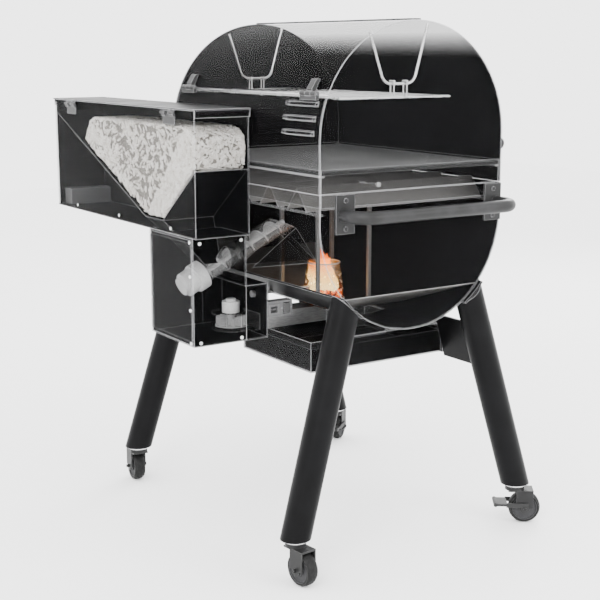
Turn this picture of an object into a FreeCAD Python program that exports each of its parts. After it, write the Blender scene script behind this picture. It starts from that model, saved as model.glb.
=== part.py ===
import FreeCAD, Part
import math
import os
import Sketcher
from FreeCAD import Placement, Rotation, Vector

# Barrel-type pellet smoker grill: a stadium-section cook box on four splayed legs,
# with a pellet hopper across its rear, a feed auger, a fire pot, a blower and an ash
# drawer under it. Millimetres, +Z up, -Y is the front, +X the user's right.
# The origin is on the floor, in the middle of the overall length and depth.

doc = FreeCAD.newDocument("pellet_grill")
sheet = doc.addObject("Spreadsheet::Sheet", "dims")
nodes = []


class Size:
    """A driving size: the expression that names it, and its number."""

    def __init__(self, text, number):
        self.text = text
        self.number = number

    def joined(self, other, sign, number):
        return Size(f"({self.text} {sign} {text_of(other)})", number)

    def __add__(self, other):
        return self.joined(other, "+", self.number + number_of(other))

    def __sub__(self, other):
        return self.joined(other, "-", self.number - number_of(other))

    def __mul__(self, other):
        return self.joined(other, "*", self.number * number_of(other))

    def __truediv__(self, other):
        return self.joined(other, "/", self.number / number_of(other))

    def __radd__(self, other):
        return Size(f"({other} + {self.text})", other + self.number)

    def __rsub__(self, other):
        return Size(f"({other} - {self.text})", other - self.number)

    def __rmul__(self, other):
        return Size(f"({other} * {self.text})", other * self.number)

    def __neg__(self):
        return self * -1


def text_of(size):
    return size.text if isinstance(size, Size) else repr(float(size))


def number_of(size):
    return size.number if isinstance(size, Size) else float(size)


def dim(name, number):
    cell = f"A{dim.row}"
    dim.row += 1
    sheet.set(cell, str(round(number, 3)))
    sheet.setAlias(cell, name)
    return Size(f"dims.{name}", round(number, 3))


dim.row = 1

# ---------------------------------------------------------------- driving sizes
# Places are laid out from the middle of the stance, then moved by these two so that
# the origin lands in the middle of the overall footprint.
MIDDLE_X = 6.0
MIDDLE_Y = 24.6

wall = dim("wall", 3.0)
lid_wall = dim("lid_wall", 2.5)
sheet_metal = dim("sheet_metal", 2.0)
barrel_left = dim("barrel_left", -480.0 - MIDDLE_X)
barrel_length = dim("barrel_length", 640.0)
barrel_y = dim("barrel_y", 10.0 - MIDDLE_Y)
barrel_radius = dim("barrel_radius", 249.0)
bowl_centre_z = dim("bowl_centre_z", 766.0)
lid_centre_z = dim("lid_centre_z", 937.0)
bowl_rim_z = dim("bowl_rim_z", 828.5)
lid_rim_z = dim("lid_rim_z", 830.0)
collar_top_z = dim("collar_top_z", 880.0)
hinge_y = dim("hinge_y", 246.5 - MIDDLE_Y)
hinge_z = dim("hinge_z", 1034.5)
rear_wall_top_z = dim("rear_wall_top_z", 1031.5)
barrel_right = barrel_left + barrel_length
barrel_mid_x = barrel_left + barrel_length / 2

hopper_left = dim("hopper_left", -208.0 - MIDDLE_X)
hopper_length = dim("hopper_length", 776.0)
hopper_front = dim("hopper_front", 261.0 - MIDDLE_Y)
hopper_depth = dim("hopper_depth", 143.0)
hopper_floor_z = dim("hopper_floor_z", 713.0)
hopper_rim_z = dim("hopper_rim_z", 993.6)
hopper_lid_z = dim("hopper_lid_z", 994.0)
hopper_right = hopper_left + hopper_length
hopper_rear = hopper_front + hopper_depth

cabinet_left = dim("cabinet_left", -188.0 - MIDDLE_X)
cabinet_width = dim("cabinet_width", 210.0)
cabinet_floor_z = dim("cabinet_floor_z", 465.0)
bay_front = dim("bay_front", 206.0 - MIDDLE_Y)
bay_top_z = dim("bay_top_z", 594.0)
cabinet_right = cabinet_left + cabinet_width
cabinet_front = hopper_front + 2

auger_x = dim("auger_x", -98.0 - MIDDLE_X)
mouth_y = dim("mouth_y", 110.0 - MIDDLE_Y)
mouth_z = dim("mouth_z", 717.0)
auger_tilt = dim("auger_tilt", 25.2)
auger_tube_radius = dim("auger_tube_radius", 25.0)
flight_radius = dim("flight_radius", 20.0)

pot_x = dim("pot_x", -132.0 - MIDDLE_X)
pot_base_z = dim("pot_base_z", 528.0)
pot_height = dim("pot_height", 90.0)
pot_foot_radius = dim("pot_foot_radius", 51.0)
pot_rim_radius = dim("pot_rim_radius", 40.0)

leg_radius = dim("leg_radius", 33.0)
leg_half_span_x = dim("leg_half_span_x", 378.0)
leg_top_half_span_x = dim("leg_top_half_span_x", 352.0)
stance_x = dim("stance_x", -112.0 - MIDDLE_X)
leg_top_offset = dim("leg_top_offset", 172.0)
leg_top_z = dim("leg_top_z", 585.0)
leg_foot_offset = dim("leg_foot_offset", 317.0)
leg_foot_z = dim("leg_foot_z", 98.0)

wheel_radius = dim("wheel_radius", 38.0)
wheel_width = dim("wheel_width", 28.0)
caster_trail = dim("caster_trail", 24.0)
axle_radius = dim("axle_radius", 4.0)

ash_left = dim("ash_left", -313.0 - MIDDLE_X)
ash_width = dim("ash_width", 298.0)
ash_front = dim("ash_front", -214.0 - MIDDLE_Y)
ash_depth = dim("ash_depth", 383.0)
ash_floor_z = dim("ash_floor_z", 400.0)
ash_height = dim("ash_height", 72.0)

handle_z = dim("handle_z", 784.0)
handle_reach = dim("handle_reach", 74.0)
handle_radius = dim("handle_radius", 14.0)
lid_bar_radius = dim("lid_bar_radius", 13.0)
lid_bar_z = dim("lid_bar_z", 910.0)
lid_bar_reach = dim("lid_bar_reach", 45.0)
lid_bar_length = dim("lid_bar_length", 530.0)

# ---------------------------------------------------------------- shape helpers
TURNS = {
    "x": Rotation(Vector(0, 1, 0), 90),
    "y": Rotation(Vector(1, 0, 0), -90),
    "z": Rotation(),
}


def bind(thing, path, size):
    thing.setExpression(path, text_of(size))


def put(thing, at, turn=None):
    """Places a thing at three sizes, each bound to the sheet."""
    if turn is not None:
        thing.Placement = Placement(Vector(), turn)
    for letter, size in zip("xyz", at):
        bind(thing, f"Placement.Base.{letter}", size)
    return thing


def slab(name, x, y, z):
    """A block between two places along each axis."""
    thing = doc.addObject("Part::Box", name)
    for path, (low, high) in zip(("Length", "Width", "Height"), (x, y, z)):
        bind(thing, path, high - low)
    return put(thing, (x[0], y[0], z[0]))


def rod(name, radius, length, at, axis="z", turn=None):
    thing = doc.addObject("Part::Cylinder", name)
    bind(thing, "Radius", radius)
    bind(thing, "Height", length)
    return put(thing, at, TURNS[axis] if turn is None else turn)


def fuse(name, *shapes):
    thing = doc.addObject("Part::MultiFuse", name)
    thing.Shapes = list(shapes)
    return thing


def group(name, *shapes):
    thing = doc.addObject("Part::Compound", name)
    thing.Links = list(shapes)
    return thing


def cut(name, base, *tools):
    thing = doc.addObject("Part::Cut", name)
    thing.Base = base
    thing.Tool = tools[0] if len(tools) == 1 else fuse(name + "_tools", *tools)
    return thing


def overlap(name, *shapes):
    thing = doc.addObject("Part::MultiCommon", name)
    thing.Shapes = list(shapes)
    return thing


def feature(name, shape):
    thing = doc.addObject("Part::Feature", name)
    thing.Shape = shape
    return thing


def node(label, thing):
    thing.Label = label
    nodes.append(thing)
    return thing


def stadium(name, left, length, radius):
    """The barrel's section, two half rounds and a straight band, along X."""
    low = rod(name + "_low", radius, length, (left, barrel_y, bowl_centre_z), "x")
    high = rod(name + "_high", radius, length, (left, barrel_y, lid_centre_z), "x")
    side = (barrel_y - radius, barrel_y + radius)
    band = slab(name + "_band", (left, left + length), side, (bowl_centre_z, lid_centre_z))
    return fuse(name, low, high, band)


def outline(body, name, plane, points):
    """A closed outline on one of the body's own planes, every corner bound."""
    drawing = body.newObject("Sketcher::SketchObject", name)
    support = [f for f in body.Origin.OriginFeatures if f.Role == plane][0]
    drawing.AttachmentSupport = [(support, "")]
    drawing.MapMode = "FlatFace"
    corners = [Vector(number_of(a), number_of(b), 0) for a, b in points]
    count = len(points)
    for index in range(count):
        edge = Part.LineSegment(corners[index], corners[(index + 1) % count])
        drawing.addGeometry(edge, False)
    for index in range(count):
        joint = Sketcher.Constraint("Coincident", index, 2, (index + 1) % count, 1)
        drawing.addConstraint(joint)
    for index, point in enumerate(points):
        for kind, axis, size in zip(("DistanceX", "DistanceY"), (-2, -1), point):
            if abs(number_of(size)) < 1e-9:
                drawing.addConstraint(Sketcher.Constraint("PointOnObject", index, 1, axis))
                continue
            held = Sketcher.Constraint(kind, -1, 1, index, 1, number_of(size))
            place = drawing.addConstraint(held)
            drawing.setExpression(f"Constraints[{place}]", text_of(size))
    return drawing


def padded(name, plane, points, length):
    body = doc.addObject("PartDesign::Body", name)
    drawing = outline(body, name + "_outline", plane, points)
    pad = body.newObject("PartDesign::Pad", name + "_pad")
    pad.Profile = drawing
    bind(pad, "Length", length)
    body.Tip = pad
    return body


def turned(name, points):
    """A body turned about its own Z from a half section of (radius, height)."""
    body = doc.addObject("PartDesign::Body", name)
    drawing = outline(body, name + "_section", "XZ_Plane", points)
    spin = body.newObject("PartDesign::Revolution", name + "_turn")
    spin.Profile = drawing
    spin.ReferenceAxis = (drawing, ["V_Axis"])
    spin.Angle = 360.0
    body.Tip = spin
    return body


def bent_rod(corners, radius, bend):
    """A round rod along straight runs joined by tangent arcs."""
    edges = []
    start = corners[0]
    for before, corner, after in zip(corners, corners[1:], corners[2:]):
        back = (before - corner).normalize()
        ahead = (after - corner).normalize()
        half = back.getAngle(ahead) / 2
        reach = bend / math.tan(half)
        first = corner + back * reach
        last = corner + ahead * reach
        bisector = (back + ahead).normalize()
        middle = corner + bisector * (bend / math.sin(half) - bend)
        edges.append(Part.LineSegment(start, first).toShape())
        edges.append(Part.Arc(first, middle, last).toShape())
        start = last
    edges.append(Part.LineSegment(start, corners[-1]).toShape())
    path = Part.Wire(edges)
    ring = Part.Wire(Part.makeCircle(radius, corners[0], corners[1] - corners[0]))
    return path.makePipeShell([ring], True, True)


def plate(corners, thickness):
    """A flat plate from its corners, thickened along the given vector."""
    face = Part.Face(Part.makePolygon([*corners, corners[0]]))
    return face.extrude(thickness)


FAR = 400.0
inside_left = barrel_left + wall
inside_length = barrel_length - 2 * wall
inside_right = inside_left + inside_length
front_y = barrel_y - barrel_radius
rear_y = barrel_y + barrel_radius

# ---------------------------------------------------------------- auger line
# u runs down the auger, from the mouth to the gearmotor.
tilt = math.radians(auger_tilt.number)
mouth = Vector(auger_x.number, mouth_y.number, mouth_z.number)
down_auger = Vector(0, math.cos(tilt), -math.sin(tilt))
auger_turn = Rotation(Vector(1, 0, 0), -90 - auger_tilt.number)


def auger_point(distance):
    """Three sizes of a point on the auger's centre line."""
    step = down_auger * distance
    return (auger_x, mouth_y + step.y, mouth_z + step.z)


def auger_rod(name, radius, start, end):
    return rod(name, radius, end - start, auger_point(start), turn=auger_turn)


# ---------------------------------------------------------------- cook box
def barrel_skin(name, left, length, thickness):
    outer = stadium(name + "_outer", left, length, barrel_radius)
    inner = stadium(name + "_inner", left - 1, length + 2, barrel_radius - thickness)
    return cut(name, outer, inner)


def cook_bowl():
    skin = barrel_skin("bowl_skin", inside_left, inside_length, wall)
    wide_x = (barrel_left - 1, barrel_right + 1)
    wide_y = (front_y - 1, rear_y + 1)
    lower = slab("bowl_zone", wide_x, wide_y, (bowl_centre_z - FAR, bowl_rim_z))
    cup = overlap("bowl_cup", skin, lower)
    auger_hole = auger_rod("bowl_auger_hole", auger_tube_radius + 0.5, 90, 190)
    igniter_hole = rod("bowl_igniter_hole", 5.5, 120, (pot_x, barrel_y + 90, pot_base_z + 32), "y")
    air_hole = rod("bowl_air_hole", 17, 30, (pot_x, barrel_y, pot_base_z - 25))
    slot_x = (drop_left + 2, drop_right - 2)
    slot_y = (drop_front + 2, drop_rear - 2)
    slot_z = (pot_base_z - 30, pot_base_z + 10)
    ash_slot = slab("bowl_ash_slot", slot_x, slot_y, slot_z)
    tools = (auger_hole, igniter_hole, air_hole, ash_slot)
    node("cook_bowl", cut("bowl_body", cup, *tools))


def bowl_ends():
    ends = []
    for side, left in (("left", barrel_left), ("right", barrel_right - wall)):
        blank = stadium(f"bowl_end_blank_{side}", left, wall, barrel_radius)
        wide_y = (front_y - 1, rear_y + 1)
        wide_x = (left - 1, left + wall + 1)
        lower = slab(f"bowl_end_zone_{side}", wide_x, wide_y, (bowl_centre_z - FAR, bowl_rim_z))
        ends.append(overlap(f"bowl_end_plate_{side}", blank, lower))
    node("bowl_ends", group("bowl_end_pair", *ends))


def bowl_collar():
    """Inner upstand that the lid closes over, with the ledges for bars and grates."""
    inner_radius = barrel_radius - wall
    out_x = (inside_left, inside_right)
    out_y = (barrel_y - inner_radius, barrel_y + inner_radius)
    ring_z = (bowl_rim_z - 28, collar_top_z)
    in_x = (inside_left + sheet_metal, inside_right - sheet_metal)
    in_y = (out_y[0] + sheet_metal, out_y[1] - sheet_metal)
    strips = [
        slab("collar_front", out_x, (out_y[0], in_y[0]), ring_z),
        slab("collar_rear", out_x, (in_y[1], out_y[1]), ring_z),
        slab("collar_left", (out_x[0], in_x[0]), in_y, ring_z),
        slab("collar_right", (in_x[1], out_x[1]), in_y, ring_z),
    ]
    for name, top, reach, inset in (("grate", grate_z, 9, sheet_metal), ("bar", bar_foot_z, 8, 0 * wall)):
        front = (out_y[0] + inset, out_y[0] + inset + reach)
        rear = (out_y[1] - inset - reach, out_y[1] - inset)
        for side, span in (("front", front), ("rear", rear)):
            z = (top - 4, top)
            strips.append(slab(f"ledge_{name}_{side}", in_x, span, z))
    node("bowl_collar", group("collar_set", *strips))


def rear_wall():
    """Fixed upper rear panel with three louvred vents near its left end."""
    skin = barrel_skin("rear_skin", inside_left + 2, inside_length - 4, wall)
    wide_x = (barrel_left, barrel_right)
    zone = slab("rear_zone", wide_x, (barrel_y + 100, rear_y + 1), (bowl_rim_z, rear_wall_top_z))
    panel = overlap("rear_panel", skin, zone)
    slots = []
    hoods = []
    for step in range(3):
        middle_z = louver_low_z + step * louver_pitch
        drop = max(0.0, middle_z.number - lid_centre_z.number)
        surface = math.sqrt(barrel_radius.number ** 2 - drop ** 2)
        y = barrel_y + surface
        x = (louver_left, louver_left + louver_length)
        slots.append(slab(f"louver_slot_{step}", x, (y - 14, y + 6), (middle_z - 4, middle_z + 4)))
        hood = rod(f"louver_round_{step}", 9, louver_length + 6, (louver_left - 3, y - 1, middle_z - 2), "x")
        inner = rod(f"louver_void_{step}", 7.2, louver_length + 2, (louver_left - 1, y - 1, middle_z - 2), "x")
        below = slab(
            f"louver_open_{step}",
            (louver_left - 5, louver_left + louver_length + 5),
            (y - 12, y + 12),
            (middle_z - 14, middle_z - 2),
        )
        shell = cut(f"louver_hood_{step}", hood, inner, below)
        hoods.append(shell)
    core = stadium("louver_core", barrel_left, barrel_length, barrel_radius)
    shells = cut("louver_shells", fuse("louver_set", *hoods), core)
    node("rear_wall", fuse("rear_wall_body", cut("rear_slotted", panel, *slots), shells))


def cooking_grates():
    """Two cast grates: an outline pad with one slot repeated across it."""
    width = (inside_length - 8) / 2
    depth = 2 * (barrel_radius - wall) - 2 * sheet_metal - 4
    pitch = width / 16
    for side, left in (("left", inside_left + 3), ("right", inside_left + 5 + width)):
        body = doc.addObject("PartDesign::Body", f"grate_{side}")
        frame = [(0, 0), (width, 0), (width, depth), (0, depth)]
        pad = body.newObject("PartDesign::Pad", f"grate_{side}_pad")
        pad.Profile = outline(body, f"grate_{side}_outline", "XY_Plane", frame)
        bind(pad, "Length", grate_thickness)
        bar = 7
        slot = [(bar, 9), (pitch, 9), (pitch, depth - 9), (bar, depth - 9)]
        pocket = body.newObject("PartDesign::Pocket", f"grate_{side}_slot")
        pocket.Profile = outline(body, f"grate_{side}_slot_outline", "XY_Plane", slot)
        pocket.Type = "ThroughAll"
        pocket.Reversed = True
        pattern = body.newObject("PartDesign::LinearPattern", f"grate_{side}_slots")
        pattern.Originals = [pocket]
        pattern.Direction = (pad.Profile[0], ["H_Axis"])
        bind(pattern, "Length", pitch * 15)
        pattern.Occurrences = 16
        body.Tip = pattern
        put(body, (left, barrel_y - depth / 2, grate_z))
        node(f"cooking_grate_{side}", body)


def flavour_bars():
    """Five inverted-V steel bars, front to back, over the fire."""
    bars = []
    apex = bar_height
    half = bar_half_width
    lip = sheet_metal * 1.2
    section = [(-half, 0), (0, apex), (half, 0), (half - lip, 0), (0, apex - lip * 1.4), (lip - half, 0)]
    length = 2 * (barrel_radius - wall) - 2 * sheet_metal - 1
    for step in range(5):
        body = padded(f"flavour_bar_{step + 1}", "XZ_Plane", section, length)
        middle = barrel_mid_x + (step - 2) * bar_pitch
        put(body, (middle, barrel_y + length / 2, bar_foot_z))
        bars.append(body)
    node("flavour_bars", group("flavour_bar_set", *bars))


def heat_deflector():
    """Flat steel plate on four posts above the fire pot."""
    x = (pot_x - 88, pot_x + 76)
    y = (barrel_y - 80, barrel_y + 80)
    top = slab("deflector_plate", x, y, (deflector_z, deflector_z + sheet_metal))
    posts = [top]
    foot = bowl_centre_z.number - math.sqrt((barrel_radius.number - wall.number) ** 2 - 78 ** 2)
    for at_x in (x[0], x[1] - 8):
        for at_y in (y[0] + 2, y[1] - 10):
            posts.append(slab("deflector_post", (at_x, at_x + 8), (at_y, at_y + 8), (foot, deflector_z)))
    node("heat_deflector", fuse("deflector_body", *posts))


def fire_pot():
    """Tapered steel cup with rows of air holes, standing on a short ring."""
    outer = doc.addObject("Part::Cone", "pot_outer")
    inner = doc.addObject("Part::Cone", "pot_inner")
    bind(outer, "Radius1", pot_foot_radius)
    bind(outer, "Radius2", pot_rim_radius)
    bind(outer, "Height", pot_height)
    bind(inner, "Radius1", pot_foot_radius - 2.5)
    bind(inner, "Radius2", pot_rim_radius - 2.5)
    bind(inner, "Height", pot_height)
    put(outer, (pot_x, barrel_y, pot_base_z))
    put(inner, (pot_x, barrel_y, pot_base_z + 3))
    cup = cut("pot_cup", outer, inner)
    holes = []
    for row in range(3):
        for step in range(6):
            angle = 30 * step + 15 * (row % 2)
            turn = Rotation(Vector(0, 0, 1), angle) * TURNS["x"]
            reach = 130.0
            start_x = pot_x - reach / 2 * math.cos(math.radians(angle))
            start_y = barrel_y - reach / 2 * math.sin(math.radians(angle))
            at = (start_x, start_y, pot_base_z + 24 + 18 * row)
            holes.append(rod(f"pot_hole_{row}_{step}", 2.6, reach, at, turn=turn))
    igniter_hole = rod("pot_igniter_hole", 4.6, 60, (pot_x, barrel_y + 20, pot_base_z + 32), "y")
    floor_hole = rod("pot_floor_hole", 17, 10, (pot_x, barrel_y, pot_base_z - 2))
    ring_z = bowl_centre_z.number - math.sqrt((barrel_radius.number - wall.number) ** 2 - 24 ** 2)
    ring = rod("pot_ring", 24, pot_base_z - ring_z, (pot_x, barrel_y, ring_z))
    ring_void = rod("pot_ring_void", 20, 20, (pot_x, barrel_y, pot_base_z - 15))
    shell = cut("pot_shell", cup, *holes, igniter_hole, floor_hole)
    node("fire_pot", fuse("pot_body", shell, cut("pot_foot", ring, ring_void)))


def ember_bed():
    bed = rod("ember_disc", 44, 16, (pot_x, barrel_y, pot_base_z + 3.2))
    node("ember_bed", bed)


def igniter_rod():
    rod_z = pot_base_z + 32
    stick = rod("igniter_stick", 4, 172, (pot_x, barrel_y + 34, rod_z), "y")
    nut = rod("igniter_nut", 8, 8, (pot_x, bay_front + sheet_metal, rod_z), "y")
    node("igniter_rod", fuse("igniter_body", stick, nut))


def pellet_chute():
    """Folded slide from the auger mouth down into the fire pot."""
    ax = auger_x.number
    px = pot_x.number
    by = barrel_y.number
    top_y = mouth_y.number - 24
    top_z = mouth_z.number - 11
    low_y = by + 32
    low_z = pot_base_z.number + pot_height.number + 3
    back_y = by + math.sqrt((barrel_radius.number - wall.number) ** 2 - (bowl_centre_z.number - low_z) ** 2) - 0.3
    across = Vector(1.5, 0, 0)
    left = [Vector(ax - 28, back_y, low_z), Vector(px - 20, low_y, low_z), Vector(ax - 28, top_y, top_z)]
    right = [Vector(ax + 26.5, back_y, low_z), Vector(px + 18.5, low_y, low_z), Vector(ax + 26.5, top_y, top_z)]
    floor = [
        Vector(ax - 27, top_y + 14, top_z - 18),
        Vector(ax + 27, top_y + 14, top_z - 18),
        Vector(px + 19, low_y, low_z + 1),
        Vector(px - 19, low_y, low_z + 1),
    ]
    slide = plate(left, across).fuse([plate(right, across), plate(floor, Vector(0, 0, -1.5))])
    node("pellet_chute", feature("chute_body", slide))


def auger_parts():
    tube = auger_rod("tube_outer", auger_tube_radius, -45, 236)
    bore = auger_rod("tube_bore", auger_tube_radius - 2.5, -50, 240)
    lip = doc.addObject("Part::Box", "mouth_cutter")
    lip.Length = 120
    lip.Width = 120
    lip.Height = 80
    lip_turn = Rotation(Vector(1, 0, 0), mouth_slant)
    corner = lip_turn.multVec(Vector(-60, -60, 0))
    put(lip, (auger_x + corner.x, mouth_y + corner.y, mouth_z + corner.z), lip_turn)
    inlet = doc.addObject("Part::Box", "tube_inlet")
    inlet.Length = 38
    inlet.Width = 40
    inlet.Height = 32
    corner = auger_turn.multVec(Vector(-19, -40, 0))
    at = auger_point(196)
    put(inlet, (at[0] + corner.x, at[1] + corner.y, at[2] + corner.z), auger_turn)
    node("auger_tube", cut("tube_body", tube, bore, lip, inlet))

    pitch = 42.0
    turns_length = 226.0
    helix = Part.makeHelix(pitch, turns_length, flight_radius.number)
    depth = flight_radius.number - 5
    half = 1.3
    rim = flight_radius.number
    section = Part.makePolygon([
        Vector(rim, 0, -half), Vector(rim - depth, 0, -half),
        Vector(rim - depth, 0, half), Vector(rim, 0, half), Vector(rim, 0, -half),
    ])
    flight = Part.Wire(helix).makePipeShell([section], True, True)
    shaft = Part.makeCylinder(6, 261, Vector(0, 0, -6))
    screw = feature("screw_body", shaft.fuse(flight))
    put(screw, auger_point(0), auger_turn)
    node("auger_screw", screw)

    case = auger_rod("gear_case", 34, 240, 265)
    shaft_bore = auger_rod("gear_bore", 6.06, 239, 256)
    gear = cut("gear_case_bored", case, shaft_bore)
    can = auger_rod("motor_can", 29, 265, 293)
    cap = auger_rod("motor_cap", 22, 293, 302)
    bolts = []
    side = Vector(1, 0, 0)
    rise = down_auger.cross(side)
    for step in range(4):
        angle = math.radians(45 + 90 * step)
        offset = side * (28 * math.cos(angle)) + rise * (28 * math.sin(angle))
        at = auger_point(265)
        at = (at[0] + offset.x, at[1] + offset.y, at[2] + offset.z)
        bolts.append(rod(f"gear_bolt_{step}", 4, 6, at, turn=auger_turn))
    node("auger_gearmotor", fuse("gearmotor_body", gear, can, cap, *bolts))


# ---------------------------------------------------------------- hopper and cabinet
def hopper():
    case_x = (hopper_left + 4, hopper_right - 4)
    case_y = (hopper_front + 2, hopper_rear - 3)
    outer = slab("case_outer", case_x, case_y, (hopper_floor_z, hopper_rim_z))
    in_x = (case_x[0] + sheet_metal, case_x[1] - sheet_metal)
    in_y = (case_y[0] + sheet_metal, case_y[1] - sheet_metal)
    inner = slab("case_inner", in_x, in_y, (hopper_floor_z + sheet_metal, hopper_rim_z + 1))
    pass_x = (throat_left - 28, cabinet_right - 2)
    throat_pass = slab("case_throat_pass", pass_x, in_y, (hopper_floor_z - 1, hopper_floor_z + 5))
    dial_hole = rod("case_dial_hole", 4, 10, (case_x[1] - 5, dial_y, dial_z), "x")
    window = slab("case_window", (case_x[1] - 5, case_x[1] + 5), window_y, window_z)
    node("hopper_case", cut("case_body", outer, inner, throat_pass, dial_hole, window))

    # Funnel: a long slope from the right, a short one from the left, and the throat.
    y0 = in_y[0].number + 0.4
    y1 = in_y[1].number - 0.4
    across = Vector(0, y1 - y0, 0)
    neck_left = throat_left.number
    neck_right = throat_right.number
    neck_z = throat_top_z.number
    far_right = in_x[1].number - 0.4
    far_left = in_x[0].number + 0.4
    thick = 1.5

    def slope(low_x, low_z, high_x, high_z):
        corners = [Vector(low_x, y0, low_z), Vector(high_x, y0, high_z)]
        return plate([*corners, corners[1] - Vector(0, 0, thick), corners[0] - Vector(0, 0, thick)], across)

    long_slope = slope(neck_right - thick, neck_z, far_right, long_slope_top_z)
    short_slope = slope(neck_left + thick, neck_z, far_left, short_slope_top_z)

    def ring(z, left, right, front, rear):
        corners = [Vector(left, front, z), Vector(right, front, z), Vector(right, rear, z), Vector(left, rear, z)]
        return Part.makePolygon([*corners, corners[0]])

    def between(top, low):
        return Part.makeLoft([ring(neck_z, *top), ring(low_z, *low)], True, True)

    low_left = auger_x.number - 24
    low_right = auger_x.number + 24
    low_front = throat_low_front.number
    low_rear = throat_low_rear.number
    low_z = throat_low_z.number
    outside = between((neck_left, neck_right, y0, y1), (low_left, low_right, low_front, low_rear))
    front_in = (y0 + thick, low_front + thick)
    rear_in = (y1 - thick, low_rear - thick)
    sheets = [
        between((neck_left, neck_right, y0, front_in[0]), (low_left, low_right, low_front, front_in[1])),
        between((neck_left, neck_right, rear_in[0], y1), (low_left, low_right, rear_in[1], low_rear)),
        between((neck_left, neck_left + thick, front_in[0], rear_in[0]),
                (low_left, low_left + thick, front_in[1], rear_in[1])),
        between((neck_right - thick, neck_right, front_in[0], rear_in[0]),
                (low_right - thick, low_right, front_in[1], rear_in[1])),
        long_slope.cut(outside),
        short_slope.cut(outside),
    ]
    tube = Part.makeCylinder(auger_tube_radius.number + 0.3, 300, mouth, down_auger)
    whole = [max(sheet.cut(tube).Solids, key=lambda solid: solid.Volume) for sheet in sheets]
    funnel = [feature("funnel_sheet", sheet) for sheet in whole]
    node("hopper_funnel", group("funnel_set", *funnel))

    # Fuel: the volume that the pellets fill, above the funnel's slopes.
    rise = 2.0
    fill = [
        Vector(neck_left + 2, y0, neck_z + rise), Vector(neck_right - 2, y0, neck_z + rise),
        Vector(fill_right, y0, fill_right_z), Vector(fill_right - 55, y0, fill_top_z),
        Vector(far_left + 42, y0, fill_top_z), Vector(far_left + 4, y0, fill_top_z - 22),
        Vector(far_left + 4, y0, fill_left_z),
    ]
    charge = plate(fill, across)
    charge.translate(Vector(0, 0.0, 0.5))
    node("pellet_charge", feature("charge_body", charge))


def hopper_lid():
    """Shallow pressed lid that laps the case, with its half of two butt hinges."""
    x = (hopper_left, hopper_right)
    y = (hopper_front, hopper_rear)
    top = slab("hopper_lid_top", x, y, (hopper_lid_z, hopper_lid_z + 3))
    skirt_z = (hopper_lid_z - 16, hopper_lid_z)
    front = slab("hopper_lid_front", x, (y[0], y[0] + 1.5), skirt_z)
    side_y = (y[0] + 1.5, y[1] - 3)
    left = slab("hopper_lid_left", (x[0], x[0] + sheet_metal), side_y, skirt_z)
    right = slab("hopper_lid_right", (x[1] - sheet_metal, x[1]), side_y, skirt_z)
    pieces = [top, front, left, right]
    for index, middle in enumerate(hopper_hinge_x):
        leaf = slab(
            f"hopper_lid_leaf_{index}",
            (middle - 28, middle + 28),
            (y[1] - 2, y[1] + 1),
            (hopper_pin_z + 4.6, hopper_lid_z),
        )
        span = middle - 9
        knuckle = rod(f"hopper_lid_knuckle_{index}", 4, 18, (span, hopper_pin_y, hopper_pin_z), "x")
        bore = rod(f"hopper_lid_bore_{index}", 1.6, 20, (span - 1, hopper_pin_y, hopper_pin_z), "x")
        ear = slab(f"hopper_lid_ear_{index}", (span, span + 18), (y[1] - 2, y[1] + 2), (hopper_pin_z, hopper_lid_z))
        pieces.append(cut(f"hopper_lid_half_{index}", fuse(f"hopper_lid_curl_{index}", leaf, knuckle, ear), bore))
    node("hopper_lid", group("hopper_lid_set", *pieces))


def cabinet():
    x = (cabinet_left, cabinet_right)
    y = (cabinet_front, hopper_rear - 3)
    z = (cabinet_floor_z, hopper_floor_z)
    main = slab("cabinet_main", x, y, z)
    bay = slab("cabinet_bay", x, (bay_front, cabinet_front), (cabinet_floor_z, bay_top_z))
    t = sheet_metal
    in_x = (x[0] + t, x[1] - t)
    in_main = slab("cabinet_void", in_x, (y[0] + t, y[1] - t), (z[0] + t, z[1] + 1))
    in_bay = slab("cabinet_bay_void", in_x, (bay_front + t, y[0] + t + 1), (z[0] + t, bay_top_z - t))
    door = slab("cabinet_door_hole", (x[0] + 12, x[1] - 12), (y[1] - 4, y[1] + 2), (z[0] + 12, z[1] - 12))
    auger_hole = auger_rod("cabinet_auger_hole", auger_tube_radius + 0.5, 140, 200)
    igniter_hole = rod("cabinet_igniter_hole", 5, 20, (pot_x, bay_front - 8, pot_base_z + 32), "y")
    duct_hole = slab("cabinet_duct_hole", (duct_left - 0.5, duct_right + 0.5), (bay_front - 5, bay_front + 5), duct_z)
    main_shell = cut("cabinet_main_shell", main, in_main, in_bay, door, auger_hole)
    bay_shell = cut("cabinet_bay_shell", bay, in_bay, igniter_hole, duct_hole)
    node("cabinet_shell", group("cabinet_set", main_shell, bay_shell))
    panel = slab("cabinet_panel", (x[0] + 4, x[1] - 4), (y[1], y[1] + 1.5), (z[0] + 4, z[1] - 4))
    node("cabinet_rear_panel", panel)


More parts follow.
